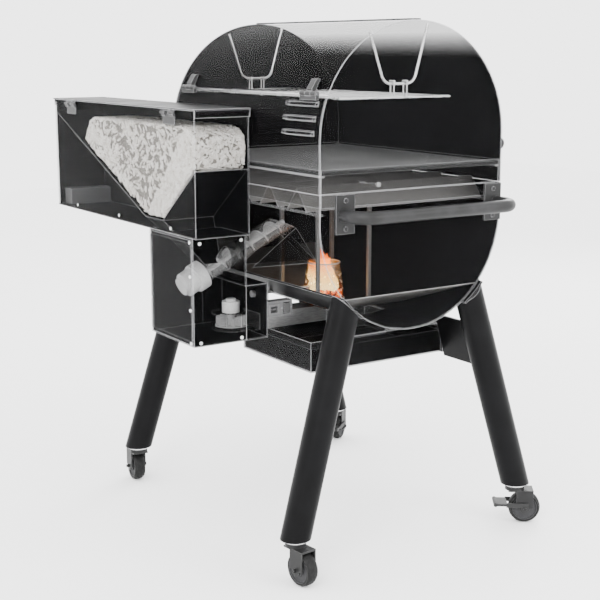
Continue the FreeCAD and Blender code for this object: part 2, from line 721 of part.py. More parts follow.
def blower():
    """Centrifugal blower under the cook box, and the duct to the fire pot."""
    centre = (fan_x, fan_y, fan_z)
    outer = rod("fan_scroll", 46, 40, centre)
    outlet = slab("fan_outlet", (duct_left + 1, duct_right - 1), (duct_rear, fan_y), (fan_z + 1, fan_z + 39))
    inner = rod("fan_scroll_void", 44, 36, (fan_x, fan_y, fan_z + 2))
    throat_x = (duct_left + 3, duct_right - 3)
    throat = slab("fan_outlet_void", throat_x, (duct_rear - 1, fan_y), (fan_z + 3, fan_z + 37))
    intake = rod("fan_intake", 22, 6, (fan_x, fan_y, fan_z - 2))
    shaft_hole = rod("fan_shaft_hole", 6, 6, (fan_x, fan_y, fan_z + 36))
    housing = cut("fan_housing_body", fuse("fan_outer", outer, outlet), inner, throat, intake, shaft_hole)
    node("fan_housing", housing)

    hub = rod("impeller_hub", 10, 26, (fan_x, fan_y, fan_z + 8))
    plate_disc = rod("impeller_disc", 38, 2, (fan_x, fan_y, fan_z + 8))
    blades = []
    for step in range(12):
        angle = 30 * step
        blade = doc.addObject("Part::Box", f"impeller_blade_{step}")
        blade.Length = 20
        blade.Width = 1.6
        blade.Height = 20
        spoke = Vector(17, 0, 0)
        turn = Rotation(Vector(0, 0, 1), angle)
        start = turn.multVec(spoke)
        slant = Rotation(Vector(0, 0, 1), angle + 24)
        put(blade, (fan_x + start.x, fan_y + start.y, fan_z + 9.5), slant)
        blades.append(blade)
    wheel = fuse("impeller_wheel", hub, plate_disc, *blades)
    bore = rod("impeller_bore", 3.05, 40, (fan_x, fan_y, fan_z + 4))
    node("fan_impeller", cut("impeller_body", wheel, bore))

    can = rod("fan_motor_can", 21, 26, (fan_x, fan_y, fan_z + 40))
    cap = rod("fan_motor_cap", 12, 6, (fan_x, fan_y, fan_z + 66))
    shaft = rod("fan_motor_shaft", 3, 32, (fan_x, fan_y, fan_z + 10))
    node("fan_motor", fuse("fan_motor_body", can, cap, shaft))

    t = 1.5
    duct = slab("duct_outer", (duct_left, duct_right), (duct_front, duct_rear), duct_z)
    duct_y = (duct_front + t, duct_rear + 1)
    void = slab("duct_void", (duct_left + t, duct_right - t), duct_y, (duct_z[0] + t, duct_z[1] - t))
    port = rod("duct_port", 17, 10, (pot_x, barrel_y, duct_z[1] - 6))
    node("air_duct", cut("duct_body", duct, void, port))


def electrics():
    x0 = cabinet_left
    box = slab("wiring_block", (x0, x0 + 26), (wiring_front, bay_front), wiring_z)
    inlet_y = (wiring_front + 38, wiring_front + 64)
    inlet_z = (wiring_z[0] + 6, wiring_z[0] + 28)
    socket = slab("inlet_block", (x0 - 3, x0), inlet_y, inlet_z)
    recess_y = (inlet_y[0] + 3, inlet_y[1] - 3)
    recess_z = (inlet_z[0] + 3, inlet_z[1] - 3)
    recess = slab("inlet_recess", (x0 - 4, x0 + 12), recess_y, recess_z)
    rocker_hole = slab("rocker_hole", (x0 - 4, x0 + 12), rocker_y, rocker_z)
    inlet_hole = slab("wiring_inlet_hole", (x0 - 4, x0 + 12), recess_y, recess_z)
    axle_z = (rocker_z[0] + rocker_z[1]) / 2
    axle_bore = rod("rocker_bore", 2.06, 30, (x0 + 2, rocker_y[0] - 5, axle_z), "y")
    node("wiring_box", cut("wiring_body", box, rocker_hole, inlet_hole, axle_bore))
    pins = []
    for step in (-1, 0, 1):
        middle = (recess_y[0] + recess_y[1]) / 2 + step * 5
        height = (recess_z[0] + recess_z[1]) / 2
        pins.append(slab(f"inlet_pin_{step}", (x0 + 2, x0 + 12), (middle - 1, middle + 1), (height - 2, height + 2)))
    node("power_inlet", group("inlet_set", cut("inlet_frame", socket, recess), *pins))

    lean = slab("rocker_block", (x0 - 3, x0 + 8), (rocker_y[0] + 0.6, rocker_y[1] - 0.6),
                (rocker_z[0] + 2.5, rocker_z[1] - 2.5))
    axle = rod("rocker_axle", 2, 28, (x0 + 2, rocker_y[0] - 4, axle_z), "y")
    node("rocker_switch", fuse("rocker_body", lean, axle))

    face_x = hopper_right - 4
    module_x = (face_x - 46, face_x - sheet_metal)
    module_y = (window_y[0] - 4, dial_y + 16)
    module = slab("module_block", module_x, module_y, (hopper_floor_z + 2.5, hopper_floor_z + 44))
    spindle_hole = rod("module_spindle_hole", 3.27, 20, (face_x - 16, dial_y, dial_z), "x")
    node("controller_module", cut("module_body", module, spindle_hole))
    glass_x = (face_x - sheet_metal, face_x + 1.5)
    glass_y = (window_y[0] + 0.2, window_y[1] - 0.2)
    glass_z = (window_z[0] + 0.2, window_z[1] - 0.2)
    node("display_window", slab("window_pane", glass_x, glass_y, glass_z))
    knob = turned("dial", [(0, 0), (12.5, 0), (12.5, 3), (11, 14), (10, 15), (0, 15)])
    groove_width = 1.6
    groove = body_groove(knob, groove_width)
    knob.Tip = groove
    put(knob, (face_x + 1, dial_y, dial_z), TURNS["x"])
    spindle = rod("dial_spindle", 3.2, 14, (face_x - 12, dial_y, dial_z), "x")
    node("control_dial", fuse("dial_body", knob, spindle))


def body_groove(knob, width):
    """Grip grooves round the dial: one slot, repeated round the axis."""
    slot = [(11.6, 4), (14, 4), (14, 16), (9.4, 16)]
    pocket = knob.newObject("PartDesign::Pocket", "dial_slot")
    pocket.Profile = outline(knob, "dial_slot_outline", "XZ_Plane", slot)
    pocket.Midplane = True
    pocket.Length = width
    ring = knob.newObject("PartDesign::PolarPattern", "dial_slots")
    ring.Originals = [pocket]
    ring.Axis = (pocket.Profile[0], ["V_Axis"])
    ring.Angle = 360.0
    ring.Occurrences = 18
    return ring


# ---------------------------------------------------------------- ash and grease
def ash_parts():
    x = (ash_left, ash_left + ash_width)
    y = (ash_front, ash_front + ash_depth)
    z = (ash_floor_z, ash_floor_z + ash_height)
    t = sheet_metal
    outer = slab("ash_outer", x, y, z)
    inner = slab("ash_inner", (x[0] + t, x[1] - t), (y[0] - 1, y[1] - t), (z[0] + t, z[1] - t))
    mouth_hole = slab("ash_mouth", (drop_left, drop_right), (drop_front, drop_rear), (z[1] - 5, z[1] + 1))
    shell = cut("ash_shell", outer, inner, mouth_hole)
    straps = []
    for index, at_x in enumerate((x[0], x[1] - 22)):
        for side, at_y in (("front", y[0] + 88), ("rear", y[1] - 60)):
            straps.append(slab(f"ash_strap_{side}_{index}", (at_x, at_x + 22), (at_y, at_y + 3), (z[1], z[1] + 140)))
    chute_out = slab("drop_outer", (drop_left, drop_right), (drop_front, drop_rear), (z[1] - t, z[1] + 70))
    hollow_x = (drop_left + 2, drop_right - 2)
    hollow_y = (drop_front + 2, drop_rear - 2)
    chute_in = slab("drop_inner", hollow_x, hollow_y, (z[1] - 10, z[1] + 80))
    chute = cut("drop_tube", chute_out, chute_in)
    barrel_form = rod("drop_form", barrel_radius, barrel_length, (barrel_left, barrel_y, bowl_centre_z), "x")
    hung = [cut(f"ash_hung_{index}", thing, barrel_form) for index, thing in enumerate((chute, *straps))]
    node("ash_housing", group("ash_housing_set", shell, *hung))

    gap = 1.2
    tray_x = (x[0] + t + gap, x[1] - t - gap)
    tray_y = (y[0] + 1, y[1] - t - 2)
    tray_z = (z[0] + t + 0.6, z[0] + 54)
    block = slab("tray_outer", tray_x, tray_y, tray_z)
    tin = 1.5
    hollow = slab("tray_inner", (tray_x[0] + tin, tray_x[1] - tin), (tray_y[0] + tin, tray_y[1] - tin),
                  (tray_z[0] + tin, tray_z[1] + 1))
    front = slab("drawer_face", (x[0] - 5, x[1] + 5), (y[0] - 3.5, y[0] - 0.5), (z[0] - 1, z[1] + 1))
    link = slab("drawer_link", (tray_x[0], tray_x[1]), (y[0] - 1, y[0] + 1.5), (tray_z[0], tray_z[1] - 6))
    middle = (x[0] + x[1]) / 2
    pull = slab("drawer_pull", (middle - 60, middle + 60), (y[0] - 24, y[0] - 18), (z[0] + 40, z[0] + 52))
    posts = [
        slab(f"drawer_post_{index}", (middle + at - 5, middle + at + 5), (y[0] - 19, y[0] - 3), (z[0] + 41, z[0] + 51))
        for index, at in enumerate((-50, 50))
    ]
    tray = cut("tray_body", block, hollow)
    node("ash_drawer", fuse("drawer_body", tray, front, link, pull, *posts))


def grease_slopes():
    """Two sheets that lead fat and ash down the bowl towards the drop tube."""
    by = barrel_y.number
    slopes = []
    runs = (
        (inside_left.number, 600.0, drop_left.number - 1, 540.0),
        (inside_right.number, 612.0, pot_x.number + 88, 540.0),
    )
    for far_x, far_z, near_x, near_z in runs:
        wide = {}
        for z in (far_z, near_z):
            depth = bowl_centre_z.number - z
            wide[z] = math.sqrt((barrel_radius.number - wall.number) ** 2 - depth ** 2) - 0.2
        corners = [
            Vector(far_x, by - wide[far_z], far_z), Vector(far_x, by + wide[far_z], far_z),
            Vector(near_x, by + wide[near_z], near_z), Vector(near_x, by - wide[near_z], near_z),
        ]
        slopes.append(feature("grease_sheet", plate(corners, Vector(0, 0, 1.5))))
    node("grease_slopes", group("grease_set", *slopes))


# ---------------------------------------------------------------- legs and casters
rail_inner = barrel_radius + 0.2
rail_outer = barrel_radius + 5.2
leg_slope = math.atan((leg_foot_offset.number - leg_top_offset.number) / (leg_top_z.number - leg_foot_z.number))
leg_angle = math.degrees(leg_slope)
CORNERS = {
    "front_left": (-1, -1, 233.0),
    "front_right": (1, -1, 307.0),
    "rear_left": (-1, 1, 186.0),
    "rear_right": (1, 1, -8.0),
}


def saddle_rails():
    """Two curved rails under the cook box, out to the right-hand legs."""
    rails = []
    middle = math.degrees(math.asin(leg_top_offset.number / rail_outer.number))
    half = 7.5
    left = stance_x - leg_top_half_span_x - 26
    length = 2 * leg_top_half_span_x + 59
    for side, sign in (("front", -1), ("rear", 1)):
        sector = doc.addObject("Part::Cylinder", f"rail_sector_{side}")
        bind(sector, "Radius", rail_outer)
        bind(sector, "Height", length)
        sector.Angle = 2 * half
        begin = sign * middle - half
        put(sector, (left, barrel_y, bowl_centre_z), TURNS["x"] * Rotation(Vector(0, 0, 1), begin))
        core = rod(f"rail_core_{side}", rail_inner, length + 2, (left - 1, barrel_y, bowl_centre_z), "x")
        tools = [core]
        if side == "rear":
            tools.append(rod("rail_igniter_hole", 6, 60, (pot_x, barrel_y + 140, pot_base_z + 32), "y"))
        rails.append(cut(f"rail_{side}", sector, *tools))
    node("saddle_rails", group("rail_pair", *rails))


def leg_line(side_x, side_y):
    """Where a leg's centre line starts, a little under its foot, and its lean."""
    lead = 20.0
    lean_x = side_x * (leg_top_half_span_x - leg_half_span_x) / (leg_top_z - leg_foot_z)
    lean_y = -side_y * math.tan(leg_slope)
    foot_x = stance_x + side_x * leg_half_span_x
    foot_y = barrel_y + side_y * leg_foot_offset
    at = (foot_x - lead * lean_x, foot_y - lead * lean_y, leg_foot_z - lead)
    return at, Rotation(Vector(0, 0, 1), Vector(lean_x.number, lean_y, 1))


def legs():
    tubes = []
    plugs = []
    for corner, (side_x, side_y, angle) in CORNERS.items():
        foot_x = stance_x + side_x * leg_half_span_x
        foot_y = barrel_y + side_y * leg_foot_offset
        at, turn = leg_line(side_x, side_y)
        outer = rod(f"leg_outer_{corner}", leg_radius, 620, at, turn=turn)
        inner = rod(f"leg_inner_{corner}", leg_radius - 2.5, 622, at, turn=turn)
        around_x = (foot_x - 50, foot_x + 50)
        around_y = (foot_y - 80, foot_y + 80)
        floor = slab(f"leg_trim_{corner}", around_x, around_y, (leg_foot_z - 60, leg_foot_z))
        round_off = rod(f"leg_saddle_{corner}", rail_outer, 150, (foot_x - 75, barrel_y, bowl_centre_z), "x")
        tubes.append(cut(f"leg_{corner}", outer, inner, floor, round_off))
        plug = rod(f"plug_disc_{corner}", 27, 4, (foot_x, foot_y, leg_foot_z - 4))
        stem = rod(f"plug_stem_{corner}", 5.5, 52, (foot_x, foot_y, leg_foot_z - 7))
        race = rod(f"plug_race_{corner}", 16, 4, (foot_x, foot_y, leg_foot_z - 7))
        plugs.append(fuse(f"plug_{corner}", plug, stem, race))
    node("legs", group("leg_set", *tubes))
    node("stem_plugs", group("plug_set", *plugs))


def casters():
    for corner, (side_x, side_y, angle) in CORNERS.items():
        foot_x = stance_x + side_x * leg_half_span_x
        foot_y = barrel_y + side_y * leg_foot_offset
        swivel = Rotation(Vector(0, 0, 1), angle)
        half = wheel_width / 2
        head = rod(f"fork_head_{corner}", 23, 9, (0, 0, 81.7))
        crown = slab(f"fork_crown_{corner}", (-16, 44), (-half - 6, half + 6), (79.5, 83))
        cheeks = []
        for sign in (-1, 1):
            inner = sign * (half + 3)
            outer = sign * (half + 6)
            low, high = (inner, outer) if sign > 0 else (outer, inner)
            cheeks.append(slab(f"fork_cheek_{corner}", (4, 44), (low, high), (wheel_radius, 80)))
            boss_y = low
            cheeks.append(rod(f"fork_boss_{corner}", 12, 3, (caster_trail, boss_y, wheel_radius), "y"))
        axle = rod(f"fork_axle_{corner}", axle_radius, 54, (caster_trail, -27, wheel_radius), "y")
        fork = fuse(f"fork_{corner}", head, crown, axle, *cheeks)
        put(fork, (foot_x, foot_y, 0), swivel)
        node(f"caster_fork_{corner}", fork)

        r = wheel_radius
        section = [
            (axle_radius + 0.08, -half), (14, -half), (14, 4 - half), (r - 11, 4 - half), (r - 9, -half),
            (r - 4, -half), (r - 0.8, 5 - half), (r, 9 - half), (r, half - 9), (r - 0.8, half - 5),
            (r - 4, half), (r - 9, half), (r - 11, half - 4), (14, half - 4), (14, half),
            (axle_radius + 0.08, half),
        ]
        wheel = turned(f"wheel_{corner}", section)
        trail = swivel.multVec(Vector(caster_trail.number, 0, 0))
        put(wheel, (foot_x + trail.x, foot_y + trail.y, wheel_radius), swivel * TURNS["y"])
        node(f"caster_wheel_{corner}", wheel)

        if side_y < 0:
            arms = []
            for sign in (-1, 1):
                low = sign * (half + 8.5) - 1.5
                arms.append(slab(f"lever_arm_{corner}", (-20, 32), (low, low + 3), (41, 52)))
                arms.append(rod(f"lever_eye_{corner}", 9, 3, (caster_trail, low, wheel_radius), "y"))
            pedal = slab(f"lever_pedal_{corner}", (-46, -18), (-half - 10, half + 10), (44, 50))
            toe = rod(f"lever_toe_{corner}", 5, wheel_width + 20, (-46, -half - 10, 47), "y")
            eye = rod(f"lever_bore_{corner}", axle_radius + 0.08, 70, (caster_trail, -35, wheel_radius), "y")
            lever = cut(f"lever_{corner}", fuse(f"lever_set_{corner}", *arms, pedal, toe), eye)
            put(lever, (foot_x, foot_y, 0), swivel)
            node(f"brake_lever_{corner}", lever)


def front_apron():
    """Leaning sheet between the front legs, notched over the ash drawer."""
    length = 2 * leg_top_half_span_x - 40
    left = stance_x - leg_top_half_span_x + 20
    base_z = 392.0
    top_z = 500.0
    height = (top_z - base_z) / math.cos(leg_slope)
    blank = doc.addObject("Part::Box", "apron_blank")
    bind(blank, "Length", length)
    blank.Width = 3
    blank.Height = height
    foot = leg_top_offset.number + (leg_top_z.number - base_z) * math.tan(leg_slope)
    put(blank, (left, barrel_y - foot - 1.5, base_z), Rotation(Vector(1, 0, 0), -leg_angle))
    notch_x = (ash_left - 8, ash_left + ash_width + 8)
    notch = slab("apron_notch", notch_x, (ash_front - 60, ash_front + 60), (380.0, ash_floor_z + ash_height + 4))
    copes = []
    for side_x in (-1, 1):
        at, turn = leg_line(side_x, -1)
        copes.append(rod("apron_cope", leg_radius, 620, at, turn=turn))
    node("front_apron", cut("apron_body", blank, notch, *copes))


# ---------------------------------------------------------------- handles and hinges
def side_handle():
    out_x = barrel_left.number - handle_reach.number
    z = handle_z.number
    rear_at = barrel_y.number + 194
    front_at = barrel_y.number - 232
    start_x = barrel_left.number - 5
    corners = [
        Vector(start_x, rear_at, z), Vector(out_x, rear_at, z),
        Vector(out_x, front_at, z), Vector(start_x, front_at, z),
    ]
    tube = bent_rod(corners, handle_radius.number, 40.0)
    node("side_handle", feature("side_handle_tube", tube))
    plates = []
    for side, middle in (("rear", barrel_y + 188), ("front", barrel_y - 222)):
        plates.append(slab(f"handle_plate_{side}", (barrel_left - 5, barrel_left), (middle - 24, middle + 24),
                           (handle_z - 40, handle_z + 43)))
        for index, at_z in enumerate((handle_z - 29, handle_z + 31)):
            plates.append(rod(f"handle_screw_{side}_{index}", 5, 2.5, (barrel_left - 7.5, middle, at_z), "x"))
    node("side_handle_brackets", group("handle_plates", fuse("handle_plate_set_rear", *plates[:3]),
                                       fuse("handle_plate_set_front", *plates[3:])))


def lid():
    skin = barrel_skin("lid_skin", barrel_left + lid_wall, barrel_length - 2 * lid_wall, lid_wall)
    wide_x = (barrel_left - 1, barrel_right + 1)
    wide_y = (front_y - 1, rear_y + 1)
    upper = slab("lid_zone", wide_x, wide_y, (lid_rim_z, lid_centre_z + FAR))
    rear_gap = slab("lid_rear_gap", wide_x, (barrel_y + 100, rear_y + 1), (lid_rim_z - 1, rear_wall_top_z + 1.5))
    node("lid_shell", cut("lid_shell_body", overlap("lid_upper", skin, upper), rear_gap))
    ends = []
    for side, left in (("left", barrel_left), ("right", barrel_right - lid_wall)):
        blank = stadium(f"lid_end_blank_{side}", left, lid_wall, barrel_radius)
        zone = slab(f"lid_end_zone_{side}", (left - 1, left + lid_wall + 1), wide_y, (lid_rim_z, lid_centre_z + FAR))
        ends.append(overlap(f"lid_end_{side}", blank, zone))
    node("lid_ends", group("lid_end_pair", *ends))
    crown_z = lid_centre_z + barrel_radius
    trim = slab("crown_trim", (barrel_left + 4, barrel_right - 4), (barrel_y - 11, barrel_y + 11), (crown_z - 6, crown_z + 3))
    form = stadium("crown_form", barrel_left, barrel_length, barrel_radius)
    node("lid_crown_trim", cut("crown_trim_body", trim, form))

    bar_y = front_y - lid_bar_reach
    bar_left = barrel_mid_x - lid_bar_length / 2
    bar = rod("lid_bar_tube", lid_bar_radius, lid_bar_length, (bar_left, bar_y, lid_bar_z), "x")
    stays = []
    for index, at in enumerate((bar_left + 20, bar_left + lid_bar_length - 38)):
        arm = slab(f"lid_stay_{index}", (at, at + 18), (bar_y, front_y), (lid_bar_z - 9, lid_bar_z + 9))
        foot = slab(f"lid_stay_foot_{index}", (at - 6, at + 24), (front_y - 3, front_y), (lid_bar_z - 20, lid_bar_z + 20))
        stays += [arm, foot]
    node("lid_handle", fuse("lid_handle_body", bar, *stays))

    lift = badge_z.number - lid_centre_z.number
    lean = math.degrees(math.asin(lift / barrel_radius.number))
    back = math.sqrt(barrel_radius.number ** 2 - lift ** 2)
    badge = doc.addObject("Part::Box", "badge_blank")
    badge.Length = 125
    badge.Width = 3
    badge.Height = 48
    turn = Rotation(Vector(1, 0, 0), -lean)
    offset = turn.multVec(Vector(0, -3, -24))
    put(badge, (badge_left, barrel_y - back + offset.y, badge_z + offset.z), turn)
    node("badge_plate", badge)


def warming_rack():
    """Wire rack that hangs in the lid on two bent-rod hangers."""
    wires = []
    x0 = inside_left.number + 12
    x1 = inside_right.number - 12
    y0 = barrel_y.number - 100
    y1 = barrel_y.number + 190
    z = rack_z.number
    hanger_z = hanger_low_z.number
    along = Vector(1, 0, 0)
    up = Vector(0, 0, 1)
    for y in (y0, y1):
        wires.append(Part.makeCylinder(2.2, x1 - x0, Vector(x0, y, z), along))
    for index in range(13):
        y = y0 + (y1 - y0) * (index + 1) / 14
        wires.append(Part.makeCylinder(1.6, x1 - x0, Vector(x0, y, z + 0.9), along))
    for x in (x0, x1, *hanger_xs, (x0 + x1) / 2):
        wires.append(Part.makeCylinder(3, y1 - y0 + 8, Vector(x, y0 - 4, z), Vector(0, 1, 0)))
    top_z = hanger_z + 5.6
    for x in hanger_xs:
        for y in (barrel_y.number + 9, barrel_y.number + 44):
            for side in (-6, 6):
                wires.append(Part.makeCylinder(1.7, top_z - z, Vector(x + side, y, z), up))
            for level in (top_z, z):
                wires.append(Part.makeCylinder(2.2, 16.4, Vector(x - 8.2, y, level), along))
    rack = wires[0].fuse(wires[1:])
    node("warming_rack", feature("rack_body", rack))

    loops = []
    for index, x in enumerate(hanger_xs):
        low_z = hanger_z
        inner = barrel_radius.number - lid_wall.number - 0.3
        points = []
        for offset in (-50, 105):
            top_z = lid_centre_z.number + math.sqrt(inner ** 2 - offset ** 2)
            points.append(Vector(x, barrel_y.number + offset, top_z))
        corners = [
            points[0],
            Vector(x, barrel_y.number - 14, low_z),
            Vector(x, barrel_y.number + 66, low_z),
            points[1],
        ]
        loops.append(feature(f"hanger_{index}", bent_rod(corners, 3.0, 26.0)))
    node("rack_hangers", group("hanger_pair", *loops))


def lid_hinges():
    """Butt hinges at the rear of the lid, and the hopper's fixed half hinges."""
    moving = []
    fixed = []
    form = stadium("hinge_form", barrel_left, barrel_length, barrel_radius)
    for index, middle in enumerate((barrel_left + 60, barrel_right - 60)):
        for side, start, length in (("a", -30, 20), ("b", 10, 20)):
            fixed.append(rod(f"knuckle_fixed_{index}{side}", 5.5, length, (middle + start, hinge_y, hinge_z), "x"))
        pin = rod(f"hinge_pin_{index}", 2.5, 64, (middle - 32, hinge_y, hinge_z), "x")
        leaf_y = (hinge_y - 7, hinge_y + 4)
        leaf = slab(f"leaf_fixed_{index}", (middle - 30, middle + 30), leaf_y, (hinge_z - 13, hinge_z - 4))
        lobe = rod(f"leaf_relief_{index}", 6, 21, (middle - 10.5, hinge_y, hinge_z), "x")
        fixed.append(cut(f"leaf_fixed_trim_{index}", leaf, lobe))
        fixed.append(pin)
        curl = rod(f"knuckle_moving_{index}", 5.5, 19.4, (middle - 9.7, hinge_y, hinge_z), "x")
        flap = slab(f"leaf_moving_{index}", (middle - 9.7, middle + 9.7), (hinge_y - 24, hinge_y), (hinge_z, hinge_z + 30))
        bore = rod(f"hinge_bore_{index}", 2.56, 22, (middle - 11, hinge_y, hinge_z), "x")
        slope = doc.addObject("Part::Box", f"leaf_slope_{index}")
        slope.Length = 30
        slope.Width = 60
        slope.Height = 60
        put(slope, (middle - 15, hinge_y + 3.6, hinge_z + 4), Rotation(Vector(1, 0, 0), 32))
        moving.append(cut(f"hinge_moving_{index}", fuse(f"hinge_curl_{index}", curl, flap), bore, slope, form))
    half = []
    for index, middle in enumerate(hopper_hinge_x):
        leaf = slab(f"hopper_leaf_{index}", (middle - 28, middle + 28), (hopper_rear - 3, hopper_rear - 1),
                    (hopper_pin_z - 26, hopper_pin_z - 5))
        parts = [leaf]
        for side, start in (("a", -28), ("b", 10)):
            at = (middle + start, hopper_pin_y, hopper_pin_z)
            parts.append(rod(f"hopper_knuckle_{index}{side}", 4, 18, at, "x"))
            web = slab(f"hopper_web_{index}{side}", (middle + start, middle + start + 18),
                       (hopper_rear - 3, hopper_pin_y), (hopper_pin_z - 8, hopper_pin_z - 2))
            parts.append(web)
        parts.append(rod(f"hopper_pin_{index}", 1.5, 58, (middle - 29, hopper_pin_y, hopper_pin_z), "x"))
        half.append(fuse(f"hopper_half_{index}", *parts))
    sets = [fuse("hinge_fixed_0", *fixed[:4]), fuse("hinge_fixed_1", *fixed[4:])]
    trimmed = [cut(f"hinge_fixed_trim_{index}", part, form) for index, part in enumerate(sets)]
    node("fixed_hinges", group("hinge_fixed_set", *trimmed, *half))
    node("lid_hinge_leaves", group("hinge_moving_set", *moving))


def panel_screws():
    """Pan-head screws round the cabinet panel, the apron ends and the drawer face."""
    heads = []
    rear = hopper_rear - 1.5
    for at_x in (cabinet_left + 9, cabinet_right - 9):
        for at_z in (cabinet_floor_z + 9, cabinet_floor_z + 85, cabinet_floor_z + 162, hopper_floor_z - 9):
            heads.append(rod("screw_rear", 4, 2.2, (at_x, rear, at_z), "y"))
    side_x = cabinet_left - 2.2
    for at_y in (cabinet_front + 14, hopper_rear - 20):
        for at_z in (cabinet_floor_z + 9, hopper_floor_z - 12):
            heads.append(rod("screw_side", 4, 2.2, (side_x, at_y, at_z), "x"))
    for at_x in (hopper_left + 120, hopper_left + 390, hopper_left + 640):
        heads.append(rod("screw_hopper", 4, 2.2, (at_x, hopper_rear - 3, hopper_floor_z + 12), "y"))
    node("panel_screws", group("screw_set", *heads))


# Places that two or more pieces share.
drop_left = dim("drop_left", -312.0 - MIDDLE_X)
drop_right = drop_left + 84
drop_front = barrel_y - 55
drop_rear = barrel_y + 55
grate_z = dim("grate_z", 868.0)
grate_thickness = dim("grate_thickness", 8.0)
bar_foot_z = dim("bar_foot_z", 788.0)
bar_height = dim("bar_height", 48.0)
bar_half_width = dim("bar_half_width", 38.0)
bar_pitch = dim("bar_pitch", 112.0)
deflector_z = dim("deflector_z", 760.0)
louver_left = dim("louver_left", -452.0 - MIDDLE_X)
louver_length = dim("louver_length", 106.0)
louver_low_z = dim("louver_low_z", 952.0)
louver_pitch = dim("louver_pitch", 30.0)
mouth_slant = 21.1
throat_left = dim("throat_left", -44.0 - MIDDLE_X)
throat_right = dim("throat_right", 46.0 - MIDDLE_X)
throat_top_z = dim("throat_top_z", 738.0)
throat_low_z = dim("throat_low_z", 640.0)
throat_low_front = dim("throat_low_front", 292.0 - MIDDLE_Y)
throat_low_rear = dim("throat_low_rear", 334.0 - MIDDLE_Y)
long_slope_top_z = 962.0
short_slope_top_z = 862.0
fill_right = 400.0 - MIDDLE_X
fill_right_z = 898.0
fill_top_z = 958.0
fill_left_z = 866.0
dial_y = dim("dial_y", 366.0 - MIDDLE_Y)
dial_z = dim("dial_z", 733.0)
window_y = (hopper_front + 12, hopper_front + 84)
window_z = (hopper_floor_z + 8, hopper_floor_z + 36)
fan_x = dim("fan_x", -104.0 - MIDDLE_X)
fan_y = dim("fan_y", 256.0 - MIDDLE_Y)
fan_z = dim("fan_z", 477.0)
duct_left = dim("duct_left", -157.0 - MIDDLE_X)
duct_right = duct_left + 62
duct_front = barrel_y - 30
duct_rear = bay_front + 3
duct_z = (fan_z + 1.2, fan_z + 38.8)
wiring_front = bay_front - 68
wiring_z = (bay_top_z - 82, bay_top_z - 46)
rocker_y = (wiring_front + 6, wiring_front + 26)
rocker_z = (wiring_z[0] + 4, wiring_z[1] - 4)
hopper_hinge_x = (dim("hopper_hinge_left", -90.0 - MIDDLE_X), dim("hopper_hinge_right", 452.0 - MIDDLE_X))
hopper_pin_y = hopper_rear + 3
hopper_pin_z = dim("hopper_pin_z", 986.0)
badge_left = dim("badge_left", -386.0 - MIDDLE_X)
badge_z = dim("badge_z", 987.0)
rack_z = dim("rack_z", 1024.0)
hanger_low_z = dim("hanger_low_z", 1052.0)
hanger_xs = (inside_left.number + 26, inside_right.number - 26)

cook_bowl()
bowl_ends()
bowl_collar()
rear_wall()
cooking_grates()
flavour_bars()
heat_deflector()
fire_pot()
ember_bed()
igniter_rod()
pellet_chute()
auger_parts()
hopper()
hopper_lid()
cabinet()
blower()
electrics()
ash_parts()
grease_slopes()
saddle_rails()
legs()
casters()
front_apron()
side_handle()
lid()
warming_rack()
lid_hinges()
panel_screws()

doc.recompute()

# ---------------------------------------------------------------- checks and files
failed = [thing.Label for thing in doc.Objects if {"Invalid", "Error"} & set(thing.State)]
if failed:
    raise RuntimeError(f"features failed: {failed}")

os.makedirs("parts", exist_ok=True)
whole = FreeCAD.BoundBox()
for thing in nodes:
    shape = thing.Shape
    if shape.isNull() or not shape.isValid() or not shape.Solids:
        raise RuntimeError(f"{thing.Label} has no valid solid")
    whole.add(shape.BoundBox)

for thing in nodes:
    thing.Shape.exportStep(f"parts/{thing.Label}.step")

print(len(nodes), "sub-parts, box", [round(v, 2) for v in (whole.XMin, whole.XMax, whole.YMin, whole.YMax, whole.ZMin, whole.ZMax)])
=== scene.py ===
import math
import random

import bmesh
import bpy
import numpy as np
from mathutils import Euler, Matrix, Vector


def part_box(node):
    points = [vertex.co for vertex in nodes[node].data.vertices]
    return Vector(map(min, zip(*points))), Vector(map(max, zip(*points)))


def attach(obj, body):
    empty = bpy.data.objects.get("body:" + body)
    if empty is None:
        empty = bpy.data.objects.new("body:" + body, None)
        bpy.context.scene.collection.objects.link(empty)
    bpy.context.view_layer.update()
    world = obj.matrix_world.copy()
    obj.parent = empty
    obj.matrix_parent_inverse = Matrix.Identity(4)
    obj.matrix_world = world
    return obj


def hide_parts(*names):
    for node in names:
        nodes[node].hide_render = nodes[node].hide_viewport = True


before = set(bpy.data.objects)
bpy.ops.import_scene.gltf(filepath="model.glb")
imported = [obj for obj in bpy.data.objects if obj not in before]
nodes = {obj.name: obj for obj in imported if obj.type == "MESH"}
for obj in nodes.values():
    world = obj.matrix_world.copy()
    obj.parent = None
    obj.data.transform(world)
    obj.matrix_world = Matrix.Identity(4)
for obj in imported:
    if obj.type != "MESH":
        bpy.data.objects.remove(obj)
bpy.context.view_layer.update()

# ---------------------------------------------------------------- cook bowl and its end plates
# The lower half of the barrel: rolled sheet steel, its seams folded and its two end plates
# welded on, then fired with black enamel. The rear and the left side are smoked and clear,
# so that the fire and the feed can be followed; the front and the right side are opaque.


class Value:
    """A number or a colour on its way through a material. Arithmetic on it adds Math nodes."""

    def __init__(self, socket):
        self.socket = socket

    def worked(self, operation, first, second):
        math_node = self.socket.id_data.nodes.new("ShaderNodeMath")
        math_node.operation = operation
        feed(math_node.inputs[0], first)
        feed(math_node.inputs[1], second)
        return Value(math_node.outputs[0])

    def __add__(self, other):
        return self.worked("ADD", self, other)

    def __sub__(self, other):
        return self.worked("SUBTRACT", self, other)

    def __mul__(self, other):
        return self.worked("MULTIPLY", self, other)

    def __rsub__(self, other):
        return self.worked("SUBTRACT", other, self)


def feed(socket, value):
    if isinstance(value, Value):
        socket.id_data.links.new(value.socket, socket)
    else:
        socket.default_value = value


